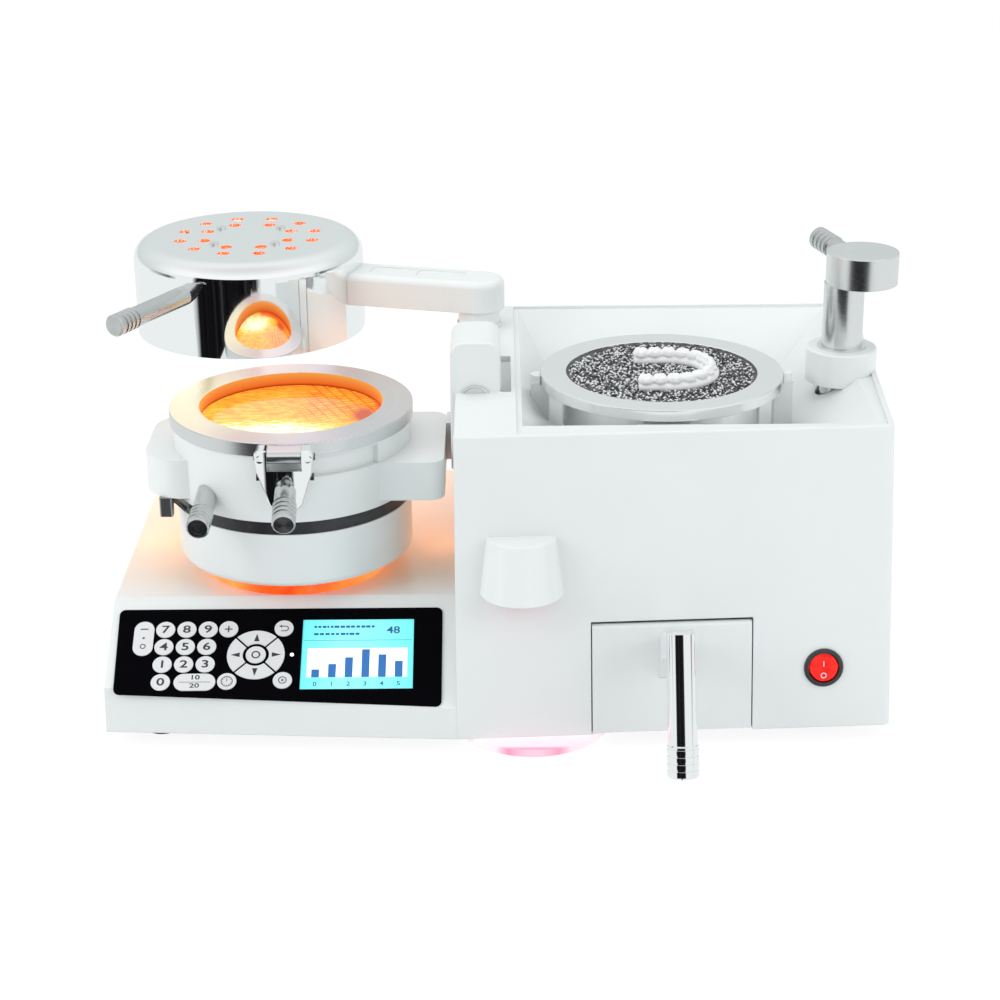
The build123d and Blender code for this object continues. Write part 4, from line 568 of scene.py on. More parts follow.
def hang_lamps(settings):
    for name, spot, aim, size, watts in (
        ("soft_top", (-0.1, 0.25, 1.35), (0, 0, 0.1), 1.1, settings.top_light),
        ("soft_left", (-1.3, -0.7, 0.95), (0, 0, 0.12), 0.9, settings.side_light),
        ("soft_right", (1.35, -0.9, 0.8), (0, 0, 0.12), 0.9, settings.side_light * 0.8),
    ):
        holder = add_lamp(name, "AREA", spot, watts, (1, 0.995, 0.985), shape="SQUARE", size=size)
        turn = (Vector(aim) - Vector(spot)).to_track_quat("-Z", "Y").to_matrix().to_4x4()
        holder.matrix_world = Matrix.Translation(spot) @ turn
    slot = (shaft.x + 0.020, shaft.y + 0.100, 0.172)
    add_lamp("slot_fill", "POINT", slot, settings.slot_light, shadow_soft_size=0.012)
    warm = (1, 0.36, 0.10)
    beside, under = {"shadow_soft_size": 0.02}, {"shape": "DISK", "size": 0.12}
    for name, body, kind, spot, share, form in (
        ("glow_left", "machine", "POINT", chamber_middle + Vector((-0.100, 0.030, 0.100)), 0.018, beside),
        ("glow_right", "machine", "POINT", chamber_middle + Vector((0.100, 0.020, 0.100)), 0.018, beside),
        ("glow_under", "lamp", "AREA", hood_middle + Vector((0, 0, hood_low.z - 0.002)), 0.26, under),
    ):
        holder = add_lamp(name, kind, spot, settings.glow_light * share, warm, **form)
        holder.visible_glossy = body == "lamp"
        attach(holder, body)


class FORMER_OT_stage(bpy.types.Operator):
    """Camera, floor, soft boxes and the studio that the chrome reflects"""

    bl_idname = "former.stage"
    bl_label = "Stage"

    def execute(self, context):
        settings = context.scene.former_studio
        scene = context.scene
        scene.view_settings.view_transform = "Standard"
        place_camera(scene, settings)
        build_studio(scene, settings)
        lay_floor(settings)
        hang_lamps(settings)
        return {"FINISHED"}


def spill_warmth(tree):
    """Paints the chamber's orange glow onto the console's top, left and right of the pot and fading towards
    the front: a painted pool of light multiplied into the enamel.
    """
    plain = tree.shader.inputs["Base Color"].links[0].from_socket
    point = tree.point((chamber_middle.x, chamber_middle.y + 0.015, 0), scale=(1, 1, 0))
    place = tree.split(point)
    side = tree.spread(tree.calculate("ABSOLUTE", place["X"]), 0.03, 0.085)
    near = tree.spread(tree.length(point), 0.150, 0.088)
    ahead = tree.spread(place["Y"], -0.085, -0.045)
    # Painted warm light, strongest beside the pot
    warm = tree.ramp(
        tree.product(tree.product(near, side), ahead), (0.0, 1, 1, 1), (0.45, 1.0, 0.96, 0.90),
        (1.0, 1.0, 0.89, 0.76),
    )
    tree.paint({"Base Color": tree.blend(1, plain, warm, "MULTIPLY")})


class FORMER_OT_shells(bpy.types.Operator):
    """Enamel of the console, housing, hopper and arms, and the plates and feet below"""

    bl_idname = "former.shells"
    bl_label = "Shells"

    def execute(self, context):
        finish = context.scene.former_finish
        shell = enamel("shell_enamel", finish.shell, 0.32)
        dress(
            shell, "shell_white", "housing_shell", "hinge_cover", "scanner_nose", "pull_flap", "pull_arm",
            "hopper_liner",
        )
        # The console's enamel, with painted orange glow from the chamber on its top
        warm = enamel("console_enamel", finish.shell, 0.32)
        spill_warmth(warm)
        dress(warm, "shell_white", "console_shell")
        casting = enamel("casting_coat", finish.casting, 0.38, 0.00004)
        dress(casting, "shell_white", "chamber_body", "chamber_dish", "lamp_arm", "lamp_post")
        dress(enamel("seat_paint", finish.shell, 0.5, coat=0.0), "seat_white", "cup_seat")
        dress(enamel("base_paint", (0.36, 0.37, 0.38, 1), 0.5, coat=0.0), "base_grey", "base_plate")
        dress(
            rubber("foot_rubber", finish.rubber), "foot_rubber", "foot_front_left", "foot_front_right",
            "foot_back_left", "foot_back_right",
        )
        dress(rubber("seal_rubber", finish.rubber, 0.38), "seal_rubber", "chamber_seal")
        return {"FINISHED"}


def light_bore(tree):
    """Paints the foil's and hood's light on the ring: painted orange glow and a dark base colour on the bore
    wall, a dark line round the wall's middle in that glow, and on the level top a painted reflection of the
    glow, yellow on the left and fading out to the right.
    """
    point = tree.point((chamber_middle.x, chamber_middle.y, 0), scale=(1, 1, 0))
    outward = tree.vector("NORMALIZE", point)
    facing = tree.add("NewGeometry").outputs["Normal"]
    inward = tree.vector("DOT_PRODUCT", outward, facing)
    low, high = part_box("clamp_ring")
    # Painted orange glow up the bore wall, with a dark line round its middle
    glow = tree.ramp(
        tree.spread(tree.split(tree.point())["Z"], low.z, high.z), (0.0, 1.0, 0.50, 0.06),
        (0.40, 1.0, 0.36, 0.03), (0.50, 0.22, 0.02, 0.005), (0.60, 0.95, 0.16, 0.02),
        (1.0, 1.0, 0.42, 0.08),
    )
    # Painted reflection of the glow, yellow on the left and dark on the right
    painted_reflection = tree.ramp(
        tree.spread(tree.split(outward)["X"], -1, 1), (0.05, 0.62, 0.50, 0.22),
        (0.30, 0.36, 0.16, 0.10), (0.62, 0.18, 0.05, 0.08), (0.85, 0.02, 0.005, 0.005),
    )
    # Where the bore wall faces inward; its base colour goes dark there, under the painted glow
    wall = tree.spread(inward, -0.3, -0.6)
    # Glow on upward faces, for the painted reflection on the ring's top
    top = tree.spread(tree.split(facing)["Z"], 0.7, 0.95, 0, 0.8)
    plain = tree.shader.inputs["Base Color"].links[0].from_socket
    tree.paint({
        "Base Color": tree.blend(wall, plain, (0.10, 0.03, 0.01, 1)),
        "Emission Color": tree.blend(wall, painted_reflection, glow),
        "Emission Strength": tree.calculate("ADD", tree.product(wall, 0.8), top),
    })


def shield_chrome(colour):
    """Pressed chrome on a flat face, with a bump that bows its shading across, so its flanks catch the light.
    """
    tree = finish_tree("shield_chrome")
    low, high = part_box("clamp_lever")
    point = tree.point((low + high) / 2)
    tree.paint({
        "Base Color": colour, "Metallic": 1,
        "Roughness": tree.spread(tree.noise(point, 60, 4), 0.3, 0.7, 0.03, 0.08),
    })
    across = tree.split(point)["X"]
    half = (high.x - low.x) / 2
    tree.relief(tree.product(tree.product(across, across), -0.30 / half), 1.0)
    return tree


class FORMER_OT_metals(bpy.types.Operator):
    """Chrome, turned steel and brass"""

    bl_idname = "former.metals"
    bl_label = "Metals"

    def execute(self, context):
        finish = context.scene.former_finish
        dress(polished("rod_chrome", finish.chrome, 0.05), "chrome", "pull_rod")
        dress(shield_chrome(finish.chrome), "chrome", "clamp_lever")
        dress(polished("hood_chrome", finish.chrome, 0.03, 0.22, hood_middle), "chrome", "lamp_hood")
        ring = turned("ring_satin", finish.satin, 0.26, chamber_middle, anisotropy=0.5)
        # Painted glow of the foil and hood on the ring's bore and top
        light_bore(ring)
        dress(ring, "steel", "clamp_ring")
        lamp_aim, head_aim = math.radians(242), math.radians(116)
        for node, aim in (
            ("chamber_grip", (-0.02, -0.993, -0.10)), ("lever_grip", (0.04, -0.968, -0.25)),
            ("lamp_grip", (math.cos(lamp_aim), math.sin(lamp_aim), 0)),
            ("head_grip", (math.cos(head_aim), math.sin(head_aim), 0.12)),
        ):
            low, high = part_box(node)
            axis = Vector(aim).normalized()
            grip = turned(node + "_steel", (0.62, 0.64, 0.64, 1), 0.25, (low + high) / 2, axis)
            dress(grip, "steel", node)
        column = turned("column_steel", finish.steel, 0.22, (column_pivot.x, column_pivot.y, 0))
        dress(column, "steel", "locking_column", "column_bush")
        dark = turned("dark_steel", (0.12, 0.12, 0.125, 1), 0.35, shaft, across_machine)
        dress(dark, "dark_steel", "pull_crank", "pull_yoke", "pull_brackets", "lever_pins")
        grey = turned("grey_steel", (0.42, 0.43, 0.44, 1), 0.4, shaft, across_machine)
        dress(grey, "dark_steel", "ring_hinge_pin", "hub_bush", "lug_catch")
        bearing = enamel("bearing_grey", (0.40, 0.43, 0.44, 1), 0.5, coat=0.0)
        dress(bearing, "dark_steel", "rear_bearing")
        screws = turned("screw_steel", (0.85, 0.86, 0.87, 1), 0.3, hood_middle)
        dress(screws, "dark_steel", "hood_screws")
        dress(turned("shaft_steel", finish.satin, 0.25, shaft, across_machine), "steel", "swing_shaft")
        cup = turned("cup_satin", (0.97, 0.975, 0.98, 1), 0.2, cup_middle, anisotropy=0.4)
        dress(cup, "cup_steel", "model_cup")
        dress(turned("brass", (0.66, 0.46, 0.16, 1), 0.3, chamber_middle), "brass", "wear_plate")
        inlet = turned("air_brass", (0.62, 0.44, 0.17, 1), 0.3, (0, 0, 0.044), across_machine)
        dress(inlet, "brass", "air_inlet")
        return {"FINISHED"}


def hot_foil():
    """The heated foil, painted as glowing: an orange sheet with a painted bright patch, a lattice seen in it
    and a dark red spot.
    """
    tree = finish_tree("foil_glow")
    x, y = chamber_middle.x, chamber_middle.y
    point = tree.point(chamber_middle)
    place = tree.split(point)
    grain = tree.noise(tree.point(chamber_middle, (0, 0, math.radians(14)), (1, 2.6, 1)), 130, 6, 0.75)
    patch = tree.point((x - 0.012, y - 0.034, 0), (0, 0, math.radians(-8)), (0.62, 1.35, 0))
    # A painted bright patch near the front; heat is how bright the painted glow is
    hot = tree.spread(tree.length(patch), 0.036, 0.010, 0, 0.26)
    forward = tree.spread(place["Y"], 0.060, -0.020, -0.12, 0.06)
    heat = tree.calculate("ADD", tree.calculate("ADD", hot, forward), 0.42)
    heat = tree.calculate("ADD", heat, tree.spread(grain, 0.36, 0.64, -0.15, 0.15))
    colour = tree.ramp(
        heat, (0.10, 0.62, 0.04, 0.005), (0.26, 1.0, 0.20, 0.01), (0.44, 1.0, 0.44, 0.03),
        (0.56, 1.0, 0.66, 0.08), (0.64, 1.0, 0.92, 0.40), (0.72, 1.0, 1.0, 0.86),
    )
    lattice = tree.add("TexBrick", {
        "Color1": (1, 1, 1, 1), "Color2": (0.92, 0.92, 0.92, 1), "Mortar": (0.62, 0.30, 0.20, 1),
        "Scale": 1, "Mortar Size": 0.0006, "Brick Width": 0.0065, "Row Height": 0.0045,
        "Vector": tree.point(chamber_middle, (0, 0, math.radians(-24))),
    }, offset=0).outputs["Color"]
    window = tree.product(tree.spread(place["X"], 0.0, 0.012), tree.spread(place["Y"], -0.022, 0.0))
    colour = tree.blend(window, colour, lattice, "MULTIPLY")
    spot = tree.length(tree.point((x + 0.048, y - 0.002, 0), scale=(1, 0.5, 0)))
    colour = tree.blend(tree.spread(spot, 0.004, 0.011, 1, 0), colour, (0.42, 0.01, 0.004, 1))
    reach = tree.length(tree.point((x - 0.006, y + 0.010, 0), scale=(1, 1, 0)))
    crescent = tree.product(tree.spread(reach, 0.060, 0.063), tree.spread(place["X"], 0.002, 0.016))
    tree.paint({
        "Emission Color": tree.blend(crescent, colour, (0.80, 0.06, 0.008, 1)),
        "Emission Strength": 1.0, "Base Color": (0.25, 0.08, 0.02, 1), "Roughness": 0.08,
    })
    tree.relief(tree.noise(point, 90, 3), 0.0004, 0.4)
    return tree


def amber_glow(colour):
    # The rest ring, painted as glowing amber, brighter towards its left and right
    tree = finish_tree("amber_glow")
    point = tree.point(chamber_middle)
    side = tree.calculate("ABSOLUTE", tree.split(point)["X"])
    place = tree.calculate(
        "ADD", tree.spread(side, 0, 0.06, 0, 0.7), tree.spread(tree.noise(point, 40, 3), 0.3, 0.7, 0, 0.3)
    )
    glow = tree.ramp(place, (0.1, 0.72, 0.035, 0.004), (0.45, *colour[:3]), (0.8, 1.0, 0.30, 0.06))
    tree.shine(glow, 0.75, 0.15)
    return tree


class FORMER_OT_heat(bpy.types.Operator):
    """Heated tubes, their carrier with painted orange glow, the foil painted as glowing and the rest ring's
    painted amber glow
    """

    bl_idname = "former.heat"
    bl_label = "Heat"

    def execute(self, context):
        finish = context.scene.former_finish
        dress(lit("tube_glow", finish.glow, 1.6), "tube_quartz", "heating_tubes")
        carrier = turned("carrier_steel", (0.45, 0.42, 0.4, 1), 0.4, hood_middle)
        # Painted orange glow on the carrier, for the tubes' light on it
        carrier.paint({"Emission Color": (1, 0.14, 0.03, 1), "Emission Strength": 0.8})
        dress(carrier, "carrier_steel", "tube_carrier")
        # The foil, painted as glowing
        dress(hot_foil(), "foil_clear", "foil_disc")
        dress(amber_glow(finish.amber), "amber", "rest_ring")
        return {"FINISHED"}


def legends(ink):
    """Digits and plain marks. Places on the keys are in millimetres."""
    work = bmesh.new()

    def on_key(u, v):
        return slope_place(u * millimetre, v * millimetre, key_print)

    first_column, column_step, first_row, row_step = -200.6, 13.7, 63.9, 13.3
    tall_key, wide_key, ring_middle, corner_key = -214.2, -179.0, (-141.4, 44.2), (-123.4, 24.9)
    for row, digits in enumerate(("789", "456", "123", "0")):
        for column, digit in enumerate(digits):
            place = on_key(first_column + column_step * column, first_row - row_step * row)
            lettering(work, digit, place, 0.0078, 1.35)
    # Plain numbers over and under the line on the wide key
    for number, v in (("10", 27.3), ("20", 21.2)):
        lettering(work, number, on_key(wide_key, v), 0.0046, 1.4)
    # The dash on the tall key, the cross's two bars and the wide key's line
    for u, v, width, height in (
        (tall_key, 64.4, 0.0050, 0.0008), (-160.0, 64.0, 0.0050, 0.0008),
        (-160.0, 64.0, 0.0008, 0.0050), (wide_key, 23.9, 0.020, 0.0003),
    ):
        plate(work, on_key(u, v), width, height)
    # The dot and ring on the tall key, a dotted ring, and the ring on the enter key
    for u, v, radius, line, steps in (
        (tall_key, 57.6, 0.0005, 0.0006, 12), (tall_key, 51.2, 0.0016, 0.0006, 16),
        (*corner_key, 0.0024, 0.0006, 20), (*corner_key, 0.0005, 0.0006, 12),
        (*ring_middle, 0.0024, 0.0009, 24),
    ):
        hoop(work, on_key(u, v), radius, line, steps=steps)
    # Arrowheads on the four direction keys
    for turn in range(4):
        place = on_key(*ring_middle) @ Matrix.Rotation(turn * math.pi / 2, 4, "Z")
        prong(work, place @ shift(0, 0.0122), 0.0078, 0.0040)
    # Clock on its key, and the arrow that turns back
    clock = on_key(-158.6, 24.3)
    hoop(work, clock, 0.0036, 0.00045)
    for hour in range(12):
        turn = Matrix.Rotation(hour * math.pi / 6, 4, "Z")
        plate(work, clock @ turn @ shift(0, 0.0029), 0.0003, 0.0008)
    plate(work, clock @ shift(0, 0.0011), 0.0004, 0.0022)
    back = on_key(-124.4, 64.3)
    hoop(work, back @ shift(0.0010, -0.0002), 0.0018, 0.0006, -math.pi / 2, math.pi, steps=12)
    for rise in (-0.0020, 0.0016):
        plate(work, back @ shift(-0.0004, rise), 0.0029, 0.0006)
    prong(work, back @ shift(-0.0020, 0.0016) @ Matrix.Rotation(math.pi / 2, 4, "Z"), 0.0024, 0.0026)
    piece_from(work, "key_legends", "machine", ink)


class FORMER_OT_panel(bpy.types.Operator):
    """The black film, the silver keys and their generic legends"""

    bl_idname = "former.panel"
    bl_label = "Control panel"

    def execute(self, context):
        finish = context.scene.former_finish
        film = finish_tree("panel_film")
        point = film.point()
        film.paint({
            "Base Color": finish.film, "Specular IOR Level": 0.01,
            "Roughness": film.spread(film.noise(point, 60, 5, 0.7), 0.4, 0.8, 0.12, 0.3),
        })
        film.relief(film.noise(point, 500, 2), 0.00001, 0.3, 0.0003)
        dress(film, "panel_black", "control_panel")

        key = finish_tree("key_print")
        fleck = key.noise(key.point(), 2500, 2)
        key.paint({
            "Base Color": key.ramp(fleck, (0.35, *toned(finish.key, 0.86)), (0.65, *finish.key[:3])),
            "Metallic": 0.1, "Roughness": 0.36,
        })
        dress(key, "key_silver", "number_keys", "function_keys", "direction_keys", "enter_key")
        dress(lit("led_glow", (1, 1, 1, 1), 1.2), "led_white", "status_led")
        legends(enamel("legend_ink", finish.ink, 0.45, coat=0.0))
        return {"FINISHED"}


def readings(ink):
    """The numbers, the rows of dashes and the line under the rows."""
    work = bmesh.new()
    lettering(work, "48", slope_place(-0.0540, 0.0630, screen_glass), 0.0075, 1.15)
    for step in range(6):
        place = slope_place(chart_left + chart_step * step, 0.0225, screen_glass)
        lettering(work, str(step), place, 0.0044, 1.15)
    # Two rows of dashes, in millimetres
    draw = random.Random(3)
    for v, left, right in ((66.0, -105.0, -68.0), (60.4, -105.0, -76.0)):
        u = left
        while u < right:
            width = draw.uniform(1.2, 3.2)
            place = slope_place((u + width / 2) * millimetre, v * millimetre, screen_glass)
            plate(work, place, width * millimetre, 0.0016)
            u += width + draw.uniform(0.5, 1.1)
    plate(work, slope_place(screen_middle, 0.0555, screen_glass), 0.0690, 0.00025)
    piece_from(work, "display_readings", "machine", ink)


def chart():
    """The chart's columns, and the pale field just under them."""
    work = bmesh.new()
    for step, height in enumerate((0.006, 0.010, 0.015, 0.021, 0.017, 0.012)):
        place = slope_place(chart_left + chart_step * step, chart_foot + height / 2, screen_glass)
        plate(work, place, 0.0050, height)
    blue = lit("drawing_blue", (0.02, 0.14, 0.42, 1), 0.3)
    piece_from(work, "display_drawing", "machine", blue)
    work = bmesh.new()
    plate(work, slope_place(screen_middle, 0.0385, screen_glass - 0.00003), 0.0640, 0.0220)
    pale = lit("drawing_pale", (0.75, 0.93, 0.98, 1), 0.7)
    piece_from(work, "display_body", "machine", pale)


class FORMER_OT_display(bpy.types.Operator):
    """The lit display: plain numbers, dashes and a chart of columns"""

    bl_idname = "former.display"
    bl_label = "Display"

    def execute(self, context):
        edge = context.scene.former_finish.screen[:3]
        glass = finish_tree("display_glow")
        point = glass.point((slope_origin.x + screen_middle, 0, 0.05))
        across = glass.spread(glass.split(point)["X"], -0.036, 0.036)
        colour = glass.ramp(
            across, (0.0, *edge), (0.35, 0.26, 0.86, 0.88), (0.7, 0.22, 0.84, 0.88), (1.0, *edge)
        )
        glass.shine(colour, 0.36, 0.2)
        dress(glass, "screen_blue", "display_screen")
        readings(lit("display_ink", (0.02, 0.10, 0.28, 1), 0.25))
        chart()
        return {"FINISHED"}


def granule(name, colour):
    tree = finish_tree(name)
    paler = [min(1, part * 1.3 + 0.01) for part in colour]
    grain = tree.noise(tree.point(), 900, 2)
    tree.paint({"Base Color": tree.ramp(grain, (0.3, *colour), (0.7, *paler)), "Roughness": 0.3})
    return tree


def fill_cup(settings):
    """A bed of granules in rows, each nudged, turned and given one of three shades."""
    finishes = [
        granule("pellet_dark", (0.02, 0.02, 0.022)),
        granule("pellet_grey", (0.16, 0.165, 0.17)),
        granule("pellet_white", (0.72, 0.73, 0.74)),
    ]
    dress(finishes[0], "pellets", "pellet_fill")
    bed_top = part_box("pellet_fill")[1].z
    draw = random.Random(settings.seed)
    grain = bmesh.new()
    bmesh.ops.create_icosphere(grain, subdivisions=1, radius=1)
    grain.verts.ensure_lookup_table()
    ball = [vert.co.copy() for vert in grain.verts]
    sides = [[vert.index for vert in face.verts] for face in grain.faces]
    grain.free()
    points, faces, shades = [], [], []
    pitch = settings.pellet_pitch
    row_share, nudge = 0.866, 0.16
    rows = int(settings.bed_radius / (pitch * row_share)) + 1
    for row in range(-rows, rows + 1):
        for column in range(-rows - 2, rows + 3):
            x = (column + (row % 2) / 2) * pitch + draw.uniform(-nudge, nudge) * pitch
            y = row * pitch * row_share + draw.uniform(-nudge, nudge) * pitch
            lift = draw.uniform(-0.0008, 0.0003)
            radius = settings.pellet_radius * draw.uniform(0.86, 1.08)
            shade = draw.choices((0, 1, 2), (0.44, 0.16, 0.40))[0]
            spin = Matrix.Rotation(draw.uniform(0, 6.28), 3, (draw.random(), draw.random(), 1))
            if math.hypot(x, y) > settings.bed_radius - radius:
                continue
            first = len(points)
            middle = Vector((cup_middle.x + x, cup_middle.y + y, bed_top + lift))
            points.extend(middle + spin @ (corner * radius) for corner in ball)
            faces.extend([first + corner for corner in side] for side in sides)
            shades.extend([shade] * len(sides))
    mesh = bpy.data.meshes.new("pellets")
    mesh.from_pydata(points, [], faces)
    mesh.polygons.foreach_set("material_index", shades)
    mesh.polygons.foreach_set("use_smooth", [True] * len(faces))
    for finish in finishes:
        mesh.materials.append(finish.owner)
    piece = put("pellets", mesh)
    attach(piece, "cup")


def draw_out(work, faces, along):
    """Extrudes faces along a vector and gives back those at the end."""
    made = bmesh.ops.extrude_face_region(work, geom=faces)["geom"]
    moved = [item for item in made if isinstance(item, bmesh.types.BMVert)]
    bmesh.ops.translate(work, verts=moved, vec=along)
    return [item for item in made if isinstance(item, bmesh.types.BMFace)]


def gum(work, middle, bend, leg, base):
    """A rounded profile drawn along one leg, spun round the bend and drawn along the other leg."""
    profile = bmesh.ops.create_circle(work, cap_ends=True, segments=20, radius=0.0058)["verts"]
    bmesh.ops.transform(
        work, verts=profile,
        matrix=shift(middle.x - leg, middle.y - bend, base + 0.0022)
        @ Matrix.Rotation(math.pi / 2, 4, "Y") @ scale(0.62, 1.0, 1),
    )
    start = list({face for vert in profile for face in vert.link_faces})
    faces = draw_out(work, start, (leg, 0, 0))
    bent = bmesh.ops.spin(
        work, geom=faces, cent=(middle.x, middle.y, base), axis=(0, 0, 1), angle=math.pi, steps=18,
        use_duplicate=False,
    )
    faces = [item for item in bent["geom_last"] if isinstance(item, bmesh.types.BMFace)]
    draw_out(work, faces, (-leg, 0, 0))


def fused(work):
    """One skin round all that a bmesh holds, eased a little."""
    holder = put("arch_rough", mesh_from(work, "arch_rough"))
    fuse = holder.modifiers.new("fuse", "REMESH")
    fuse.mode = "VOXEL"
    fuse.voxel_size = 0.00042
    ease = holder.modifiers.new("ease", "SMOOTH")
    ease.factor = 0.5
    ease.iterations = 1
    skin = bmesh.new()
    take_in(skin, worked_out(holder))
    return skin


def cast_arch(finish):
    """Fourteen teeth with cusps on a gum that bends round, fused and smoothed into one casting."""
    low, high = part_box("tooth_arch")
    bend, leg, teeth = 0.0275, 0.021, 14
    middle = Vector((cup_middle.x + 0.0042, cup_middle.y - 0.004, 0))
    work = bmesh.new()
    gum(work, middle, bend, leg, low.z)
    length = math.pi * bend + 2 * leg
    for tooth in range(teeth):
        along = (tooth + 0.5) / teeth * length
        if along < leg:
            spot, turn = Vector((-leg + along, -bend, 0)), 0.0
        elif along > length - leg:
            spot, turn = Vector((length - leg - along, bend, 0)), math.pi
        else:
            swing = (along - leg) / bend - math.pi / 2
            spot = Vector((bend * math.cos(swing), bend * math.sin(swing), 0))
            turn = swing + math.pi / 2
        molar = abs(along - length / 2) / (length / 2)
        shape_tooth(work, middle + spot, turn, molar, length / teeth, low.z, high.z)
    bmesh.ops.recalc_face_normals(work, faces=work.faces)
    work = fused(work)
    bmesh.ops.bisect_plane(
        work, geom=work.verts[:] + work.edges[:] + work.faces[:], plane_co=(0, 0, low.z - 0.0012),
        plane_no=(0, 0, 1), clear_inner=True,
    )
    bmesh.ops.holes_fill(work, edges=[edge for edge in work.edges if edge.is_boundary], sides=0)
    tree = finish_tree("plaster")
    point = tree.point()
    grain = tree.noise(point, 300, 5, 0.65)
    colour = tree.ramp(grain, (0.3, *toned(finish.plaster, 0.93)), (0.6, *finish.plaster[:3]))
    tree.paint({"Base Color": colour, "Roughness": 0.7})
    tree.relief(tree.noise(point, 1500, 4), 0.00005, 0.6)
    arch = piece_from(work, "plaster_arch", "cup", tree, smooth=True)
    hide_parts("tooth_arch")


def shape_tooth(work, spot, turn, molar, length, base, crown):
    """One crown: broad with four cusps at the back of the arch, a narrow blade at its front."""
    breadth = 0.0115 * (0.62 + 0.36 * molar)
    width = length * (0.93 + 0.06 * molar)
    top = crown - 0.0014 * molar
    gum = base + 0.0035
    own = bmesh.new()
    bmesh.ops.create_cube(own, size=2)
    bmesh.ops.subdivide_edges(own, edges=own.edges[:], cuts=3, use_grid_fill=True)
    for vert in own.verts:
        point = vert.co.copy()
        vert.co = point.lerp(point.normalized() * 1.25, 0.78)
        x, y, z = vert.co
        if z > 0.35:
            along = math.cos(x * math.pi * 2) if molar > 0.5 else math.cos(x * math.pi / 2)
            if molar > 0.3:
                vert.co.z += 0.16 * (-along) - 0.26 * math.cos(y * math.pi) * 0.8
            else:
                vert.co.z += 0.20 * along
                vert.co.y *= 0.62 + 0.1 * molar
        if z < -0.2:
            vert.co.x *= 0.86
    bmesh.ops.transform(
        own, verts=own.verts,
        matrix=shift(spot.x, spot.y, (top + gum) / 2) @ Matrix.Rotation(turn, 4, "Z")
        @ scale(width / 2, breadth / 2, (top - gum) / 2),
    )
    take_in(work, mesh_from(own, "part"))


class FORMER_OT_cup(bpy.types.Operator):
    """Pellets in the model cup and the plaster arch that stands in them"""

    bl_idname = "former.cup"
    bl_label = "Model cup"

    def execute(self, context):
        fill_cup(context.scene.former_cup)
        cast_arch(context.scene.former_finish)
        return {"FINISHED"}


def inlet_pins():
    """Three flat pins in the mains inlet."""
    low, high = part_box("mains_inlet")
    middle = (low + high) / 2
    work = bmesh.new()
    for aside, rise in ((-0.0065, -0.0018), (0, 0.0022), (0.0065, -0.0018)):
        own = bmesh.new()
        place = shift(middle.x + aside, high.y - 0.0105, middle.z + rise)
        bmesh.ops.create_cube(own, size=1, matrix=place @ scale(0.0020, 0.0110, 0.0042))
        bmesh.ops.bevel(
            own, geom=own.edges[:], offset=0.0005, offset_type="OFFSET", affect="EDGES", segments=2,
            profile=0.5, material=-1,
        )
        take_in(work, mesh_from(own, "part"))
    brass = turned("pin_brass", (0.75, 0.72, 0.62, 1), 0.25, middle, across_machine)
    pins = piece_from(work, "inlet_pins", "machine", brass, smooth=True)


def switch_marks():
    """A bar and a ring on the rocker's face."""
    low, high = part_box("switch_rocker")
    middle = (low + high) / 2
    # The rocker's face: the direction out of it, and along its width
    out = Vector((0.0549, -0.9880, 0.1441)).normalized()
    along = Vector((0.99846, 0.05547, 0))
    up = out.cross(along).normalized()
    turn = Matrix((along, up, out)).transposed().to_4x4()
    face = shift(middle.x, low.y + 0.0012, middle.z) @ turn
    work = bmesh.new()
    plate(work, face @ shift(0, 0.0038), 0.0006, 0.0034)
    hoop(work, face @ shift(0, -0.0038), 0.0016, 0.0006, steps=16)
    white = enamel("mark_white", (0.85, 0.85, 0.85, 1), 0.5, coat=0.0)
    piece_from(work, "switch_marks", "rocker", white)


def scan_plate_glow():
    """A clear plate painted as glowing pale pink, with the reader's thin red line of light painted along its
    front edge.
    """
    tree = finish_tree("scan_plate_glow")
    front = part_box("scan_plate")[0].y
    back = tree.split(tree.point((0, front, 0)))["Y"]
    glow = tree.ramp(
        tree.spread(back, 0, 0.05), (0.0, 1.0, 0.55, 0.66), (0.05, 1.0, 0.30, 0.45),
        (0.12, 1.0, 0.72, 0.80), (0.5, 1.0, 0.88, 0.92),
    )
    tree.shine(glow, 0.28, 0.2)
    return tree


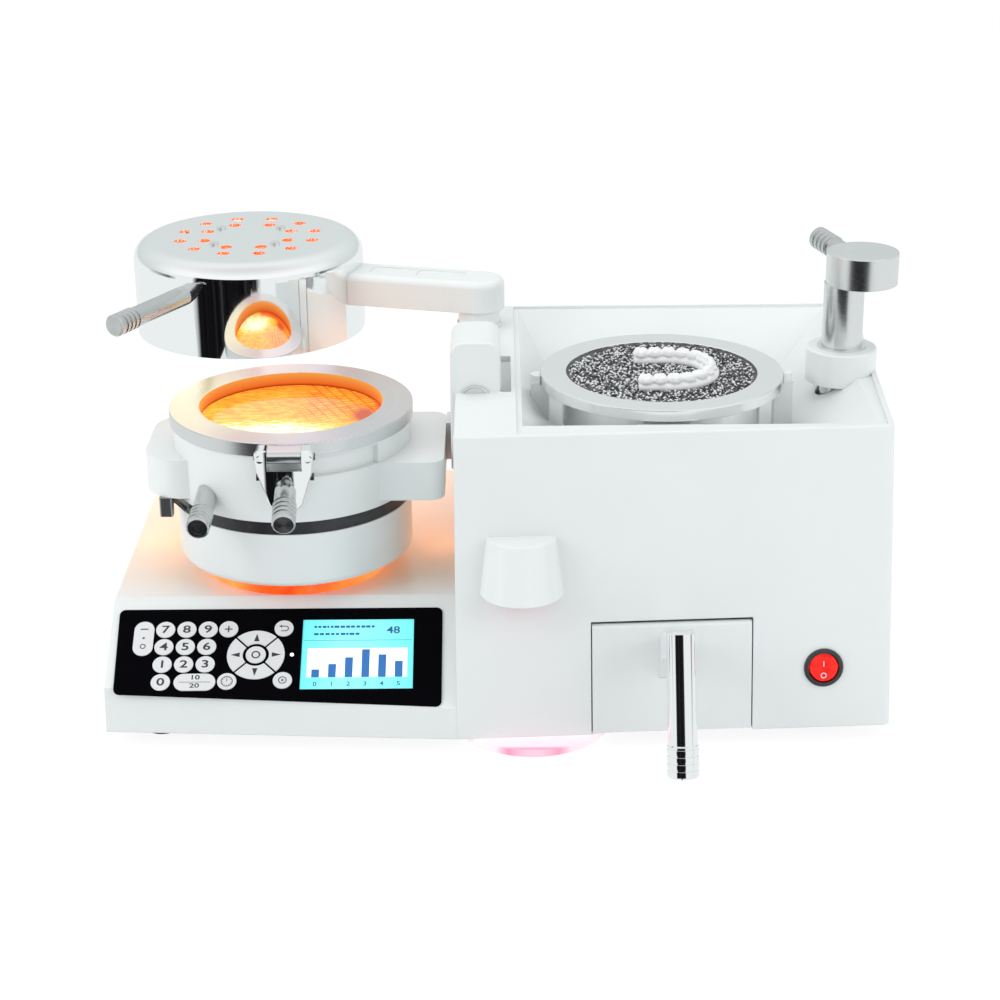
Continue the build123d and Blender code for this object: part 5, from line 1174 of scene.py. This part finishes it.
class FORMER_OT_fittings(bpy.types.Operator):
    """Scanner, power switch and mains inlet"""

    bl_idname = "former.fittings"
    bl_label = "Fittings"

    def execute(self, context):
        glass = finish_tree("scan_glass")
        glass.paint({
            "Base Color": (0.16, 0.01, 0.03, 1), "Roughness": 0.06,
            "Emission Color": (1, 0.05, 0.25, 1), "Emission Strength": 0.6,
        })
        dress(glass, "window_glass", "scan_window")
        dress(scan_plate_glow(), "plate_clear", "scan_plate")
        bezel = rubber("switch_grey", (0.035, 0.04, 0.042, 1), 0.3)
        dress(bezel, "switch_grey", "switch_bezel", "mains_inlet")
        red = finish_tree("switch_red")
        colour = red.ramp(red.noise(red.point(), 160, 2), (0.3, 0.55, 0.002, 0.002), (0.7, 0.9, 0.02, 0.01))
        red.shine(colour, 0.45, 0.18)
        dress(red, "switch_red", "switch_rocker")
        switch_marks()
        inlet_pins()
        return {"FINISHED"}


OPERATORS = (
    FORMER_OT_stage, FORMER_OT_shells, FORMER_OT_metals, FORMER_OT_heat, FORMER_OT_panel,
    FORMER_OT_display, FORMER_OT_cup, FORMER_OT_fittings,
)
SETTINGS = {"former_studio": StudioSettings, "former_finish": FinishSettings, "former_cup": CupSettings}


class FORMER_PT_panel(bpy.types.Panel):
    """Lists the steps that dress the former"""

    bl_label = "Pressure former"
    bl_idname = "FORMER_PT_panel"
    bl_space_type = "VIEW_3D"
    bl_region_type = "UI"
    bl_category = "Former"

    def draw(self, context):
        for operator in OPERATORS:
            self.layout.operator(operator.bl_idname)
        for name, group in SETTINGS.items():
            box = self.layout.box()
            for field in group.__annotations__:
                box.prop(getattr(context.scene, name), field)


def register():
    for group in SETTINGS.values():
        bpy.utils.register_class(group)
    for name, group in SETTINGS.items():
        setattr(bpy.types.Scene, name, PointerProperty(type=group))
    for operator in OPERATORS:
        bpy.utils.register_class(operator)
    bpy.utils.register_class(FORMER_PT_panel)


def unregister():
    bpy.utils.unregister_class(FORMER_PT_panel)
    for operator in reversed(OPERATORS):
        bpy.utils.unregister_class(operator)
    for name in SETTINGS:
        delattr(bpy.types.Scene, name)
    for group in reversed(SETTINGS.values()):
        bpy.utils.unregister_class(group)


def main():
    register()
    for operator in OPERATORS:
        getattr(bpy.ops.former, operator.bl_idname.split(".")[1])()


if __name__ == "__main__":
    main()
